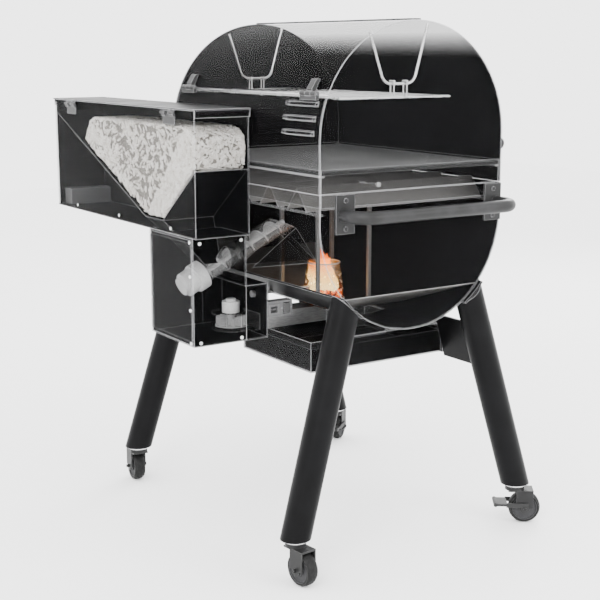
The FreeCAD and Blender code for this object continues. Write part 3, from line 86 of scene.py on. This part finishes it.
class Finish:
    """One material of the grill, built round a Principled shader."""

    def __init__(self, name, roughness=0.5, metallic=0.0, specular=0.5, coat=0.0, colour=(0.5, 0.5, 0.5)):
        self.material = bpy.data.materials.new(name)
        self.material.use_nodes = True
        self.tree = self.material.node_tree
        self.shader = self.tree.nodes["Principled BSDF"]
        self.set("Base Color", (*colour, 1.0))
        self.set("Roughness", roughness)
        self.set("Metallic", metallic)
        self.set("Specular IOR Level", specular)
        self.set("Coat Weight", coat)
        self.set("Coat Roughness", 0.12)
        self.place = self.node("ShaderNodeTexCoord", out="Object")

    def set(self, name, value):
        feed(self.shader.inputs[name], value)
        return self

    def node(self, kind, settings=None, sockets=None, out=0):
        made = self.tree.nodes.new(kind)
        for name, value in (settings or {}).items():
            setattr(made, name, value)
        for name, value in (sockets or {}).items():
            feed(made.inputs[name], value)
        return Value(made.outputs[out])

    def stretched(self, x, y, z):
        return self.node("ShaderNodeMapping", None, {"Vector": self.place, "Scale": (x, y, z)})

    def noise(self, scale, detail=3.0, place=None):
        sockets = {"Vector": place or self.place, "Scale": scale, "Detail": detail}
        return self.node("ShaderNodeTexNoise", None, sockets)

    def ramp(self, value, low, high, start=0.0, end=1.0):
        sockets = {"Value": value, "From Min": low, "From Max": high, "To Min": start, "To Max": end}
        return self.node("ShaderNodeMapRange", {"clamp": True}, sockets)

    def larger(self, first, second):
        return self.node("ShaderNodeMath", {"operation": "MAXIMUM"}, {0: first, 1: second})

    def colours(self, factor, *stops):
        """A run of colours; each stop is a position from 0 to 1 and its colour."""
        made = self.tree.nodes.new("ShaderNodeValToRGB")
        run = made.color_ramp.elements
        while len(run) < len(stops):
            run.new(0.5)
        for element, (position, colour) in zip(run, stops):
            element.position = position
            element.color = (*colour, 1.0)
        feed(made.inputs["Fac"], factor)
        return Value(made.outputs[0])

    def blend(self, factor, first, second):
        made = self.tree.nodes.new("ShaderNodeMix")
        made.data_type = "RGBA"
        feed(made.inputs[0], factor)
        for socket, colour in ((made.inputs[6], first), (made.inputs[7], second)):
            feed(socket, colour if isinstance(colour, Value) else (*colour, 1.0))
        return Value(made.outputs[2])

    def bump(self, height, distance, strength=1.0):
        sockets = {"Height": height, "Distance": distance, "Strength": strength}
        self.set("Normal", self.node("ShaderNodeBump", None, sockets, "Normal"))
        return self

    def along(self, letter):
        return self.node("ShaderNodeSeparateXYZ", None, {"Vector": self.place}, letter)

    def past(self, letter, start, end):
        """0 before start and 1 beyond end, in metres along one axis of the object at rest."""
        return self.ramp(self.along(letter), start, end)

    def edges(self, width, low=0.05, high=0.28):
        """1 on the folds and rims of the sheet metal, 0 on its flats."""
        rounded = self.node("ShaderNodeBevel", {"samples": 4}, {"Radius": width})
        flat = self.node("ShaderNodeNewGeometry", None, None, "Normal")
        normals = {0: rounded, 1: flat}
        likeness = self.node("ShaderNodeVectorMath", {"operation": "DOT_PRODUCT"}, normals, "Value")
        return self.ramp(1 - likeness, low, high)


def dress(finish, *names):
    for name in names:
        node = nodes[name]
        node.data.materials.clear()
        node.data.materials.append(finish.material)


BLACK = (0.0022, 0.0022, 0.0024)
WORN_BLACK = (0.0045, 0.0045, 0.0050)
# Painted highlight colours, laid over the parts' own colour along their rims and folds.
EDGE_HIGHLIGHT = (0.80, 0.80, 0.82)
BRIGHT_EDGE_HIGHLIGHT = (0.85, 0.85, 0.86)
SMOKED_STEEL = (1.0, 0.97, 0.94)
SMOKED_OPACITY = 0.20


def enamel(name, clear=None, opacity=SMOKED_OPACITY, edge_highlight=EDGE_HIGHLIGHT, width=0.0020):
    """Black enamel with a painted bright highlight on its rims. clear(finish) is 1 where the sheet is smoked
    glass.
    """
    coat = Finish(name, roughness=0.4, specular=0.06)
    rim = coat.edges(width)
    mottle = coat.noise(9.0, 4.0)
    ripple = coat.noise(5.0, 1.0)
    skin = coat.blend(coat.ramp(mottle, 0.35, 0.75), BLACK, WORN_BLACK)
    # The rims take a painted bright highlight over the black enamel.
    coat.set("Base Color", coat.blend(rim * 0.8, skin, edge_highlight))
    coat.set("Roughness", coat.ramp(mottle, 0.3, 0.8, 0.34, 0.46) + rim * 0.15)
    coat.bump(ripple, 0.0010, 0.10)
    if clear is not None:
        where = clear(coat)
        seen = 1 - where * (1 - opacity)
        coat.set("Alpha", coat.larger(seen, rim * 0.9))
    return coat


def left_side(coat):
    return coat.past("X", -0.05, -0.06)


def rear_side(coat):
    return coat.past("Y", 0.02, 0.10)


def everywhere(coat):
    return 1.0


bowl_finish = enamel("bowl_enamel", rear_side)
end_finish = enamel("end_plate_enamel", left_side)
dress(bowl_finish, "cook_bowl")
dress(end_finish, "bowl_ends", "lid_ends")

# ---------------------------------------------------------------- rear panel with louvres
# Fixed upper rear sheet of the barrel, pressed into three louvred vents at its left end.
rear_finish = enamel("rear_panel_enamel", everywhere, 0.26)
dress(rear_finish, "rear_wall")

# ---------------------------------------------------------------- lid
# One rolled sheet with a raised strip spot-welded along its crown, enamelled like the bowl.
# Its rear half is smoked like the rear panel; the front that faces the cook is opaque.
lid_finish = enamel("lid_enamel", lambda coat: coat.past("Y", -0.20, -0.12))
dress(lid_finish, "lid_shell")
strip_finish = enamel("crown_strip_enamel")
dress(strip_finish, "lid_crown_trim")

# ---------------------------------------------------------------- bars to hold
# Round tubes, satin black over steel, screwed to the lid and to the left end.


def satin_black(name, tone=0.012, roughness=0.42, edge_highlight=(0.35, 0.35, 0.36)):
    coat = Finish(name, roughness=roughness, specular=0.16)
    rim = coat.edges(0.0016)
    wear = coat.noise(26.0, 5.0)
    grain = coat.noise(420.0, 2.0)
    skin = coat.blend(coat.ramp(wear, 0.4, 0.8), (tone, tone, tone), (tone * 2, tone * 2, tone * 2.1))
    # The rims take a painted lighter highlight over the satin black.
    coat.set("Base Color", coat.blend(rim * 0.8, skin, edge_highlight))
    coat.set("Roughness", coat.ramp(wear, 0.3, 0.8, roughness - 0.08, roughness + 0.12))
    coat.bump(grain, 0.0003, 0.25)
    return coat


bar_finish = satin_black("bar_black")
dress(bar_finish, "lid_handle", "side_handle", "side_handle_brackets")

# ---------------------------------------------------------------- blank badge
# Satin aluminium plate riveted to the lid's front, left blank.


def brushed(name, tone, roughness=0.32, stretch=(4, 60, 60), tint=(1.0, 1.0, 1.0), metallic=1.0):
    """Brushed or drawn metal, streaked across the stretch, with a painted bright highlight on its rims."""
    metal = Finish(name, roughness=roughness, metallic=metallic, specular=0.5)
    streaks = metal.noise(14.0, 6.0, metal.stretched(*stretch))
    stains = metal.noise(18.0, 3.0)
    rim = metal.edges(0.0012)
    dark = tuple(tone * 0.72 * t for t in tint)
    light = tuple(min(1.0, tone * 1.15 * t) for t in tint)
    skin = metal.blend(metal.ramp(streaks, 0.3, 0.7), dark, light)
    # The rims take a painted near-white highlight.
    metal.set("Base Color", metal.blend(rim * 0.85, skin, (0.92, 0.92, 0.93)))
    metal.set("Roughness", metal.ramp(stains, 0.3, 0.75, roughness - 0.06, roughness + 0.16))
    metal.bump(streaks, 0.0002, 0.35)
    return metal


badge_finish = brushed("badge_aluminium", 0.62, 0.30, (3, 80, 80))
dress(badge_finish, "badge_plate")

# ---------------------------------------------------------------- rack, hangers and hinges
# Plated wire, welded at every crossing; the hinges are folded steel on plain pins.
wire_finish = brushed("plated_wire", 0.78, 0.22, (60, 4, 60))
dress(wire_finish, "warming_rack", "rack_hangers")
hinge_finish = satin_black("hinge_black", 0.02, 0.38, (0.55, 0.55, 0.56))
dress(hinge_finish, "fixed_hinges", "lid_hinge_leaves")

# ---------------------------------------------------------------- collar, grates and bars
# Inside the barrel: a folded collar, two enamelled cast grates on its ledges, and five
# inverted-V bars over the fire, greyed by smoke and heat.
collar_finish = enamel("collar_enamel", everywhere, 0.16, BRIGHT_EDGE_HIGHLIGHT)
dress(collar_finish, "bowl_collar")


def cast(name):
    iron = Finish(name, roughness=0.55, specular=0.2)
    rim = iron.edges(0.0012)
    pits = iron.noise(240.0, 4.0)
    soot = iron.noise(11.0, 4.0)
    skin = iron.blend(iron.ramp(soot, 0.35, 0.7), (0.045, 0.045, 0.045), (0.09, 0.09, 0.09))
    # The rims take a painted near-white highlight over the iron.
    iron.set("Base Color", iron.blend(rim * 0.9, skin, BRIGHT_EDGE_HIGHLIGHT))
    iron.set("Roughness", iron.ramp(soot, 0.3, 0.7, 0.42, 0.7))
    iron.bump(pits, 0.0006, 0.5)
    return iron


grate_finish = cast("grate_iron")
dress(grate_finish, "cooking_grate_left", "cooking_grate_right")
bars_finish = brushed("smoked_steel", 0.22, 0.42, (60, 3, 60), SMOKED_STEEL, metallic=0.3)
dress(bars_finish, "flavour_bars", "grease_slopes")
deflector_finish = brushed("deflector_steel", 0.22, 0.40, (50, 4, 50), SMOKED_STEEL, metallic=0.3)
dress(deflector_finish, "heat_deflector")

# ---------------------------------------------------------------- fire pot, embers and flame
# A tapered steel cup, blued and browned by the fire, half full of burning pellets.
pot_finish = Finish("fire_pot_steel", roughness=0.4, metallic=0.9)
height_in_pot = pot_finish.past("Z", 0.525, 0.62)
tints = pot_finish.colours(
    height_in_pot + pot_finish.noise(30.0) * 0.25 - 0.12,
    (0.0, (0.16, 0.11, 0.09)),
    (0.4, (0.30, 0.19, 0.13)),
    (0.7, (0.34, 0.33, 0.40)),
    (1.0, (0.60, 0.58, 0.56)),
)
pot_rim = pot_finish.edges(0.0032, 0.02, 0.2)
# The rims take a painted bright highlight over the heat tints.
pot_finish.set("Base Color", pot_finish.blend(pot_rim, tints, (0.95, 0.93, 0.90)))
pot_finish.set("Alpha", pot_finish.larger(0.30, pot_rim))
pot_finish.bump(pot_finish.noise(120.0), 0.0004, 0.3)
dress(pot_finish, "fire_pot")

POT = Vector((-0.138, -0.0146, 0.0))
EMBER_COUNT = 260
EMBER_REACH = 0.040
EMBER_LOW = 0.533
EMBER_HIGH = 0.5485
FLAME_FOOT = 0.546


def empty_object(name):
    made = bpy.data.objects.new(name, bpy.data.meshes.new(name))
    bpy.context.collection.objects.link(made)
    return made


def deselect():
    for thing in bpy.context.selected_objects:
        thing.select_set(False)


def copies_of(source, places, name):
    """One object made of copies of a small shape, each turned and moved in place."""
    points = np.array([vertex.co for vertex in source.data.vertices])
    rings = [list(face.vertices) for face in source.data.polygons]
    count = len(points)
    corners = []
    faces = []
    for index, place in enumerate(places):
        turned = points @ np.array(place.to_3x3()).T + np.array(place.translation)
        corners.append(turned)
        faces += [[corner + index * count for corner in ring] for ring in rings]
    made = empty_object(name)
    made.data.from_pydata(np.concatenate(corners).tolist(), [], faces)
    made.data.update()
    bpy.data.objects.remove(source)
    return made


def pellet_blank(radius, length, sides):
    """A short rod whose ends rise a little at the middle."""
    deselect()
    bpy.ops.mesh.primitive_cylinder_add(vertices=sides, radius=radius, depth=length, end_fill_type="TRIFAN")
    blank = bpy.context.object
    for vertex in blank.data.vertices:
        if abs(vertex.co.x) + abs(vertex.co.y) < radius * 0.1:
            vertex.co.z *= 1.06
    return blank


def ring_of(name, middle, radius, thickness):
    deselect()
    bpy.ops.mesh.primitive_torus_add(
        location=(0.0, 0.0, 0.0),
        major_radius=radius,
        minor_radius=thickness,
        major_segments=72,
        minor_segments=12,
    )
    made = bpy.context.object
    made.name = name
    made.data.transform(Matrix.Translation(Vector(middle)))
    return made


def joined(name, parts):
    deselect()
    for part in parts:
        part.select_set(True)
    bpy.context.view_layer.objects.active = parts[0]
    bpy.ops.object.join()
    whole = bpy.context.object
    whole.name = name
    return whole


# The cup's rolled rim, and the weld bead round its foot.
pot_rings = joined("pot_rings", [
    ring_of("pot_rim_roll", (POT.x, POT.y, 0.6172), 0.0396, 0.0016),
    ring_of("pot_foot_bead", (POT.x, POT.y, 0.5288), 0.0506, 0.0012),
])
ring_finish = brushed("pot_ring_steel", 0.92, 0.3, (30, 30, 30), (1.0, 0.97, 0.92), metallic=0.2)
pot_rings.data.materials.append(ring_finish.material)
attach(pot_rings, "cook_box")

rng = random.Random(11)
lumps = []
for _ in range(EMBER_COUNT):
    reach = EMBER_REACH * math.sqrt(rng.random())
    angle = rng.uniform(0, 2 * math.pi)
    rise = rng.uniform(EMBER_LOW, EMBER_HIGH) + 0.006 * (1 - reach / EMBER_REACH)
    spot = POT + Vector((reach * math.cos(angle), reach * math.sin(angle), rise))
    turn = Euler((rng.uniform(0.9, 2.2), rng.uniform(-0.5, 0.5), rng.uniform(0, 6.3)))
    lumps.append(Matrix.Translation(spot) @ turn.to_matrix().to_4x4())
embers = copies_of(pellet_blank(0.0034, 0.013, 7), lumps, "embers")
ember_finish = Finish("ember_glow", roughness=0.9)
heat = ember_finish.noise(75.0, 3.0)
burnt = ember_finish.ramp(heat, 0.4, 0.6)
ember_finish.set("Base Color", ember_finish.blend(burnt, (0.02, 0.015, 0.012), (0.30, 0.06, 0.01)))
glow = ember_finish.colours(
    heat,
    (0.40, (0.03, 0.0, 0.0)),
    (0.52, (0.9, 0.10, 0.01)),
    (0.62, (1.0, 0.38, 0.05)),
    (0.75, (1.0, 0.75, 0.30)),
)
ember_finish.set("Emission Color", glow)
ember_finish.set("Emission Strength", 6.0)
embers.data.materials.append(ember_finish.material)
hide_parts("ember_bed")
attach(embers, "cook_box")


def flame_tongue(middle, height, radius, sway, seed):
    """One tongue of flame: a tapering tube that leans and twists as it rises."""
    deselect()
    bpy.ops.mesh.primitive_uv_sphere_add(segments=18, ring_count=14, radius=1.0)
    tongue = bpy.context.object
    for vertex in tongue.data.vertices:
        up = (vertex.co.z + 1) / 2
        girth = math.sin(math.pi * min(1.0, up ** 0.62)) ** 0.9 if 0 < up < 1 else 0.0
        around = math.atan2(vertex.co.y, vertex.co.x)
        flicker = 1 + 0.22 * math.sin(3 * around + 7 * up + seed) + 0.12 * math.sin(5 * around - 9 * up)
        lean = sway * up * up * height
        vertex.co = Vector((
            middle[0] + radius * girth * flicker * math.cos(around) + lean * math.cos(seed),
            middle[1] + radius * girth * flicker * math.sin(around) + lean * math.sin(seed),
            middle[2] + up * height,
        ))
    return tongue


tongues = []
for reach, angle, height, radius, sway in (
    (0.000, 0.0, 0.102, 0.024, 0.12),
    (0.017, 0.6, 0.078, 0.017, 0.24),
    (0.019, 2.5, 0.086, 0.016, 0.20),
    (0.018, 4.4, 0.070, 0.017, 0.28),
    (0.030, 5.6, 0.050, 0.012, 0.30),
    (0.031, 1.7, 0.054, 0.012, 0.28),
    (0.030, 3.4, 0.058, 0.012, 0.24),
    (0.029, 0.2, 0.048, 0.011, 0.30),
    (0.010, 3.3, 0.092, 0.016, 0.16),
):
    foot = POT + Vector((reach * math.cos(angle), reach * math.sin(angle), FLAME_FOOT))
    tongues.append(flame_tongue(foot, height, radius, sway, angle * 1.7))
flame = joined("flame", tongues)
bpy.ops.object.shade_smooth()
flame_finish = Finish("flame_glow", roughness=1.0, specular=0.0, colour=(0.0, 0.0, 0.0))
rise = flame_finish.past("Z", 0.545, 0.640)
lick = rise + flame_finish.noise(55.0, 2.0) * 0.5 - 0.25
flame_colours = flame_finish.colours(
    lick,
    (0.0, (1.0, 0.78, 0.36)),
    (0.35, (1.0, 0.56, 0.14)),
    (0.7, (1.0, 0.26, 0.03)),
    (1.0, (0.75, 0.07, 0.0)),
)
flame_finish.set("Emission Color", flame_colours)
flame_finish.set("Emission Strength", 8.0)
flame_finish.set("Alpha", flame_finish.ramp(lick, 0.1, 1.0, 0.85, 0.18))
flame.data.materials.append(flame_finish.material)
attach(flame, "cook_box")

# ---------------------------------------------------------------- igniter and chute
# A hot rod on a threaded nut, and the folded slide that brings pellets to the pot.
feed_finish = brushed("feed_steel", 0.58, 0.32, (50, 50, 4), metallic=0.5)
dress(feed_finish, "igniter_rod")
chute_finish = enamel("chute_steel", everywhere, 0.35, BRIGHT_EDGE_HIGHLIGHT, 0.0022)
dress(chute_finish, "pellet_chute")

# ---------------------------------------------------------------- auger
# A rolled tube with an open mouth; inside it the screw, a strip wound round a bar.
tube_finish = brushed("auger_tube_steel", 0.85, 0.32, (60, 6, 12), metallic=0.1)
tube_rim = tube_finish.edges(0.002)
tube_finish.set("Alpha", tube_finish.larger(0.15, tube_rim))
dress(tube_finish, "auger_tube")
screw_finish = brushed("auger_screw_steel", 0.98, 0.30, (40, 8, 8), metallic=0.1)
dress(screw_finish, "auger_screw")
motor_finish = brushed("gearmotor_casting", 0.85, 0.40, (30, 30, 30), metallic=0.15)
dress(motor_finish, "auger_gearmotor")

# ---------------------------------------------------------------- hopper
# A folded steel bin with a painted bright highlight along its edges, smoked at its rear and left so the fuel
# shows.


def hopper_clear(coat):
    """The rear and the left wall, above the folded floor."""
    rear = coat.past("Y", 0.371, 0.373)
    left = coat.past("X", -0.207, -0.2075)
    above_floor = coat.past("Z", 0.7155, 0.7165)
    return coat.larger(rear, left) * above_floor


hopper_finish = enamel("hopper_enamel", hopper_clear, 0.20)
dress(hopper_finish, "hopper_case")
hopper_lid_finish = enamel("hopper_lid_enamel", lambda coat: coat.past("Z", 0.99, 0.985), 0.35)
dress(hopper_lid_finish, "hopper_lid")
funnel_finish = enamel("funnel_enamel", None, edge_highlight=(0.75, 0.75, 0.76), width=0.002)
dress(funnel_finish, "hopper_funnel")

# ---------------------------------------------------------------- pellets
# The fuel: short rods of pressed sawdust, heaped in the funnel to its slopes and rounded
# on top. A dark core of painted shade stands behind the outer layer, where the heap's depths lie in shadow.
PELLET_COUNT = 9800
PELLET_RADIUS = 0.0029
PELLET_LENGTH = 0.0150
PELLET_MARGIN = 0.0026
SHALLOWEST = 0.0030
DEEPEST = 0.0095
FREE_LEAN_DEPTH = 0.008
CORE_DEPTH = 0.009
core = empty_object("pellet_core")
shape = bmesh.new()
shape.from_mesh(nodes["pellet_charge"].data)
bmesh.ops.remove_doubles(shape, verts=shape.verts, dist=0.0001)
bmesh.ops.dissolve_limit(shape, angle_limit=0.01, verts=shape.verts, edges=shape.edges)
walls = [(face.calc_center_median().copy(), face.normal.copy(), face.calc_area()) for face in shape.faces]
rings = [[vertex.co.copy() for vertex in face.verts] for face in shape.faces]


def inside(point, margin):
    return all((point - centre).dot(normal) < -margin for centre, normal, area in walls)


pellet_places = []
total = sum(area for centre, normal, area in walls)
for (centre, normal, area), ring in zip(walls, rings):
    for _ in range(int(PELLET_COUNT * area / total)):
        first, second = sorted((rng.random(), rng.random()))
        pick = rng.randrange(1, len(ring) - 1)
        spot = ring[0] * first + ring[pick] * (second - first) + ring[pick + 1] * (1 - second)
        depth = rng.uniform(SHALLOWEST, DEEPEST)
        spot = spot - normal * depth
        flat = Vector((rng.gauss(0, 1), rng.gauss(0, 1), rng.gauss(0, 1)))
        flat = (flat - normal * flat.dot(normal)).normalized()
        lean = (flat + normal * rng.uniform(-0.32, 0.32) * min(1.0, depth / FREE_LEAN_DEPTH)).normalized()
        half = lean * (PELLET_LENGTH / 2)
        if inside(spot + half, PELLET_MARGIN) and inside(spot - half, PELLET_MARGIN):
            turn = lean.to_track_quat("Z", "Y").to_matrix().to_4x4()
            pellet_places.append(Matrix.Translation(spot) @ turn)
pellets = copies_of(pellet_blank(PELLET_RADIUS, PELLET_LENGTH, 6), pellet_places, "pellets")
bmesh.ops.recalc_face_normals(shape, faces=shape.faces)
for vertex in shape.verts:
    vertex.co -= vertex.normal * CORE_DEPTH
shape.to_mesh(core.data)
shape.free()
wood = Finish("pellet_wood", roughness=0.72, specular=0.25)
tone = wood.noise(95.0, 4.0)
grain = wood.noise(700.0, 3.0)
sawdust = wood.colours(
    tone,
    (0.30, (0.62, 0.59, 0.54)),
    (0.48, (0.84, 0.81, 0.76)),
    (0.66, (0.97, 0.95, 0.92)),
)
wood.set("Base Color", wood.blend(wood.ramp(grain, 0.45, 0.75) * 0.35, sawdust, (0.50, 0.46, 0.40)))
wood.bump(grain, 0.0004, 0.6)
pellets.data.materials.append(wood.material)
# Painted shade: the dark grey of the core stands in for the shadowed depths of the heap.
shade = Finish("pellet_shade", roughness=0.9)
shade.set("Base Color", shade.blend(shade.noise(60.0), (0.12, 0.11, 0.10), (0.36, 0.34, 0.31)))
core.data.materials.append(shade.material)
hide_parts("pellet_charge")
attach(pellets, "cook_box")
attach(core, "cook_box")

# ---------------------------------------------------------------- controller
# A moulded box inside the foot of the hopper's right end. Its display and its ribbed dial are
# on the outer face; the display shows a row of lit bars that climbs from front to rear.


def moulded(name, tone, roughness=0.5, coat=0.0, edge_highlight=(0.72, 0.72, 0.73)):
    plastic = Finish(name, roughness=roughness, specular=0.25, coat=coat)
    rim = plastic.edges(0.001)
    sparkle = plastic.noise(520.0, 2.0)
    cloud = plastic.noise(20.0, 3.0)
    base = plastic.blend(cloud, (tone, tone, tone), (tone * 1.7, tone * 1.7, tone * 1.75))
    # The rims take a painted lighter highlight over the plastic.
    plastic.set("Base Color", plastic.blend(rim * 0.6, base, edge_highlight))
    plastic.set("Roughness", plastic.ramp(cloud, 0.3, 0.7, roughness - 0.06, roughness + 0.08))
    plastic.bump(sparkle, 0.0002, 0.4)
    return plastic


module_finish = moulded("controller_plastic", 0.09)
dress(module_finish, "controller_module", "wiring_box", "power_inlet")
rocker_finish = moulded("rocker_plastic", 0.02, 0.3, 0.3)
dress(rocker_finish, "rocker_switch")
dial_finish = moulded("dial_plastic", 0.02, 0.3, 0.4)
dress(dial_finish, "control_dial")
window_finish = Finish("display_glass", roughness=0.08, specular=0.6, coat=0.6, colour=(0.006, 0.010, 0.012))
pane_glow = window_finish.noise(60.0, 2.0)
window_finish.set("Base Color", window_finish.blend(pane_glow, (0.004, 0.007, 0.009), (0.012, 0.020, 0.024)))
BARS_PER_METRE = 180.0
across = window_finish.along("Y") * BARS_PER_METRE
rungs = window_finish.node("ShaderNodeMath", {"operation": "PINGPONG"}, {0: across, 1: 0.5})
stairs = window_finish.ramp(window_finish.along("Y"), 0.258, 0.311, 0.7245, 0.7445)
low_edge = window_finish.past("Z", 0.7240, 0.7244)
high_edge = window_finish.ramp(window_finish.along("Z") - stairs, 0.0004, 0.0)
lit = window_finish.ramp(rungs, 0.18, 0.22) * low_edge * high_edge
window_finish.set("Emission Color", window_finish.blend(lit, (0.0, 0.0, 0.0), (0.25, 0.85, 1.0)))
window_finish.set("Emission Strength", 3.0)
dress(window_finish, "display_window")


def bar_between(name, first, last, radius, sides=24):
    """A rod from one point to another, its ends rounded by a bevel."""
    first = Vector(first)
    last = Vector(last)
    run = last - first
    deselect()
    bpy.ops.mesh.primitive_cylinder_add(vertices=sides, radius=radius, depth=run.length)
    made = bpy.context.object
    made.name = name
    turn = run.to_track_quat("Z", "Y").to_matrix().to_4x4()
    made.data.transform(Matrix.Translation((first + last) / 2) @ turn)
    rounding = made.modifiers.new("rounding", "BEVEL")
    rounding.width = radius * 0.3
    rounding.segments = 3
    rounding.limit_method = "ANGLE"
    bpy.ops.object.modifier_apply(modifier="rounding")
    return made


def middle_of(name):
    low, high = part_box(name)
    return (Vector(low) + Vector(high)) / 2


dial_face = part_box("control_dial")[1][0]
dial_middle = middle_of("control_dial")
mark_start = Vector((dial_face - 0.0004, dial_middle.y, dial_middle.z + 0.0015))
mark_end = mark_start + Vector((0.0, 0.0, 0.0070))
pointer = bar_between("dial_pointer", mark_start, mark_end, 0.0004, 12)
pointer_finish = Finish("pointer_paint", roughness=0.5)
brushing = pointer_finish.noise(300.0)
pointer_finish.set("Base Color", pointer_finish.blend(brushing, (0.75, 0.75, 0.75), (0.9, 0.9, 0.9)))
pointer.data.materials.append(pointer_finish.material)
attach(pointer, "dial")

# ---------------------------------------------------------------- temperature probe
# A steel sheath through the left end, under the grates, with a nut inside; the controller
# reads the chamber by it.
left_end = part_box("bowl_ends")[0][0]
probe_root = Vector((left_end + 0.0036, 0.080, 0.842))
probe_tip = probe_root + Vector((0.070, 0.0, 0.0))
probe_nut_end = probe_root + Vector((0.006, 0.0, 0.0))
probe_sheath = bar_between("probe_sheath", probe_root, probe_tip, 0.0024)
probe_nut = bar_between("probe_nut", probe_root, probe_nut_end, 0.0062, 6)
probe = joined("temperature_probe", [probe_sheath, probe_nut])
probe_finish = brushed("probe_steel", 0.75, 0.25, (6, 60, 60), metallic=0.6)
probe.data.materials.append(probe_finish.material)
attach(probe, "cook_box")

# ---------------------------------------------------------------- cabinet, blower and duct
# The motor cabinet is folded and screwed together; the blower's wheel is bright metal.


def cabinet_clear(coat):
    """The rear, the left side, and the front wall where the auger comes through."""
    left = coat.past("X", -0.191, -0.192)
    rear = coat.past("Y", 0.372, 0.373)
    front = coat.past("Y", 0.242, 0.241) * coat.past("Z", 0.597, 0.598)
    return coat.larger(coat.larger(rear, left), front)


cabinet_finish = enamel("cabinet_enamel", cabinet_clear, 0.22)
dress(cabinet_finish, "cabinet_shell")
panel_finish = enamel("cabinet_panel_enamel", everywhere, 0.30)
dress(panel_finish, "cabinet_rear_panel")
fan_box_finish = moulded("blower_plastic", 0.03)
fan_box_finish.set("Alpha", fan_box_finish.larger(0.14, fan_box_finish.edges(0.0018)))
dress(fan_box_finish, "fan_housing")
wheel_metal = brushed("impeller_aluminium", 0.95, 0.30, (20, 20, 20), metallic=0.1)
dress(wheel_metal, "fan_impeller", "fan_motor")
duct_finish = brushed("duct_steel", 0.34, 0.36, (40, 5, 40))
dress(duct_finish, "air_duct")

# ---------------------------------------------------------------- ash box and drawer
# Folded black sheet under the bowl; the drawer slides out to the front.
ash_finish = enamel("ash_box_enamel", everywhere, 0.45)
dress(ash_finish, "ash_housing")
drawer_finish = enamel("ash_drawer_enamel")
dress(drawer_finish, "ash_drawer")

# ---------------------------------------------------------------- legs, rails and apron
# Round steel tubes saddled to two curved rails, powder-coated black.
leg_finish = enamel("leg_enamel", None, edge_highlight=(0.45, 0.45, 0.46))
dress(leg_finish, "legs", "saddle_rails", "front_apron")

# ---------------------------------------------------------------- screws and stem plugs
# Plated pan heads round the panels, and the threaded plugs that hold the casters.
screw_head_finish = brushed("plated_screws", 0.75, 0.25, (30, 30, 30))
dress(screw_head_finish, "panel_screws", "stem_plugs")

# ---------------------------------------------------------------- casters
# Pressed forks on a ball race and hard tread over a moulded hub. Only the front pair has
# foot levers.
fork_finish = satin_black("fork_black", 0.010, 0.42, (0.10, 0.10, 0.10))
lever_finish = moulded("lever_plastic", 0.010, edge_highlight=(0.10, 0.10, 0.10))
for corner in ("front_left", "front_right", "rear_left", "rear_right"):
    dress(fork_finish, f"caster_fork_{corner}")
    middle = middle_of(f"caster_wheel_{corner}")
    tread = Finish(f"caster_tread_{corner}", roughness=0.6, specular=0.15)
    centred = tread.node("ShaderNodeMapping", None, {"Vector": tread.place, "Location": tuple(-middle)})
    reach = tread.node("ShaderNodeVectorMath", {"operation": "LENGTH"}, {0: centred}, "Value")
    rubber = tread.ramp(reach, 0.0325, 0.0335)
    scuffs = tread.noise(170.0, 4.0)
    hub = tread.blend(tread.noise(40.0), (0.020, 0.020, 0.021), (0.040, 0.040, 0.042))
    tyre = tread.blend(tread.ramp(scuffs, 0.4, 0.7), (0.004, 0.004, 0.004), (0.010, 0.010, 0.010))
    painted = tread.blend(rubber, hub, tyre)
    # The rims take a painted lighter highlight over the rubber and hub.
    tread.set("Base Color", tread.blend(tread.edges(0.0010) * 0.6, painted, (0.22, 0.22, 0.22)))
    tread.bump(scuffs, 0.0004, 0.4)
    dress(tread, f"caster_wheel_{corner}")
    if f"brake_lever_{corner}" in nodes:
        dress(lever_finish, f"brake_lever_{corner}")

# ---------------------------------------------------------------- floor, light and camera
# A plain pale floor, large soft lamps, and the camera at the rear left of the grill.
deselect()
bpy.ops.mesh.primitive_plane_add(size=14.0, location=(0, 0, 0))
floor = bpy.context.object
floor.name = "floor"
floor_finish = Finish("floor_paint", roughness=0.75, specular=0.2, colour=(0.96, 0.96, 0.96))
floor.data.materials.append(floor_finish.material)

world = bpy.data.worlds.new("studio")
bpy.context.scene.world = world
world.use_nodes = True
sky = world.node_tree.nodes["Background"]
sky.inputs["Color"].default_value = (1.0, 1.0, 1.0, 1.0)
sky.inputs["Strength"].default_value = 3.8


def lamp(name, spot, target, size, power):
    light = bpy.data.lights.new(name, "AREA")
    light.shape = "DISK"
    light.size = size
    light.energy = power
    holder = bpy.data.objects.new(name, light)
    bpy.context.collection.objects.link(holder)
    holder.location = spot
    holder.rotation_euler = (Vector(target) - Vector(spot)).to_track_quat("-Z", "Y").to_euler()


lamp("key", (-2.2, 2.6, 2.6), (0.0, 0.0, 0.7), 1.6, 95)
lamp("side", (-3.2, -1.2, 1.8), (-0.1, 0.0, 0.6), 1.8, 60)
lamp("front", (1.8, -3.0, 2.4), (0.0, 0.0, 0.7), 1.8, 70)

camera_data = bpy.data.cameras.new("camera")
camera_data.lens = 74.0
camera_data.sensor_width = 36.0
camera = bpy.data.objects.new("camera", camera_data)
bpy.context.collection.objects.link(camera)
camera.location = (-2.575, 1.6654, 1.126)
camera.rotation_euler = (math.radians(78.47), 0.0, math.radians(-123.47))
bpy.context.scene.camera = camera
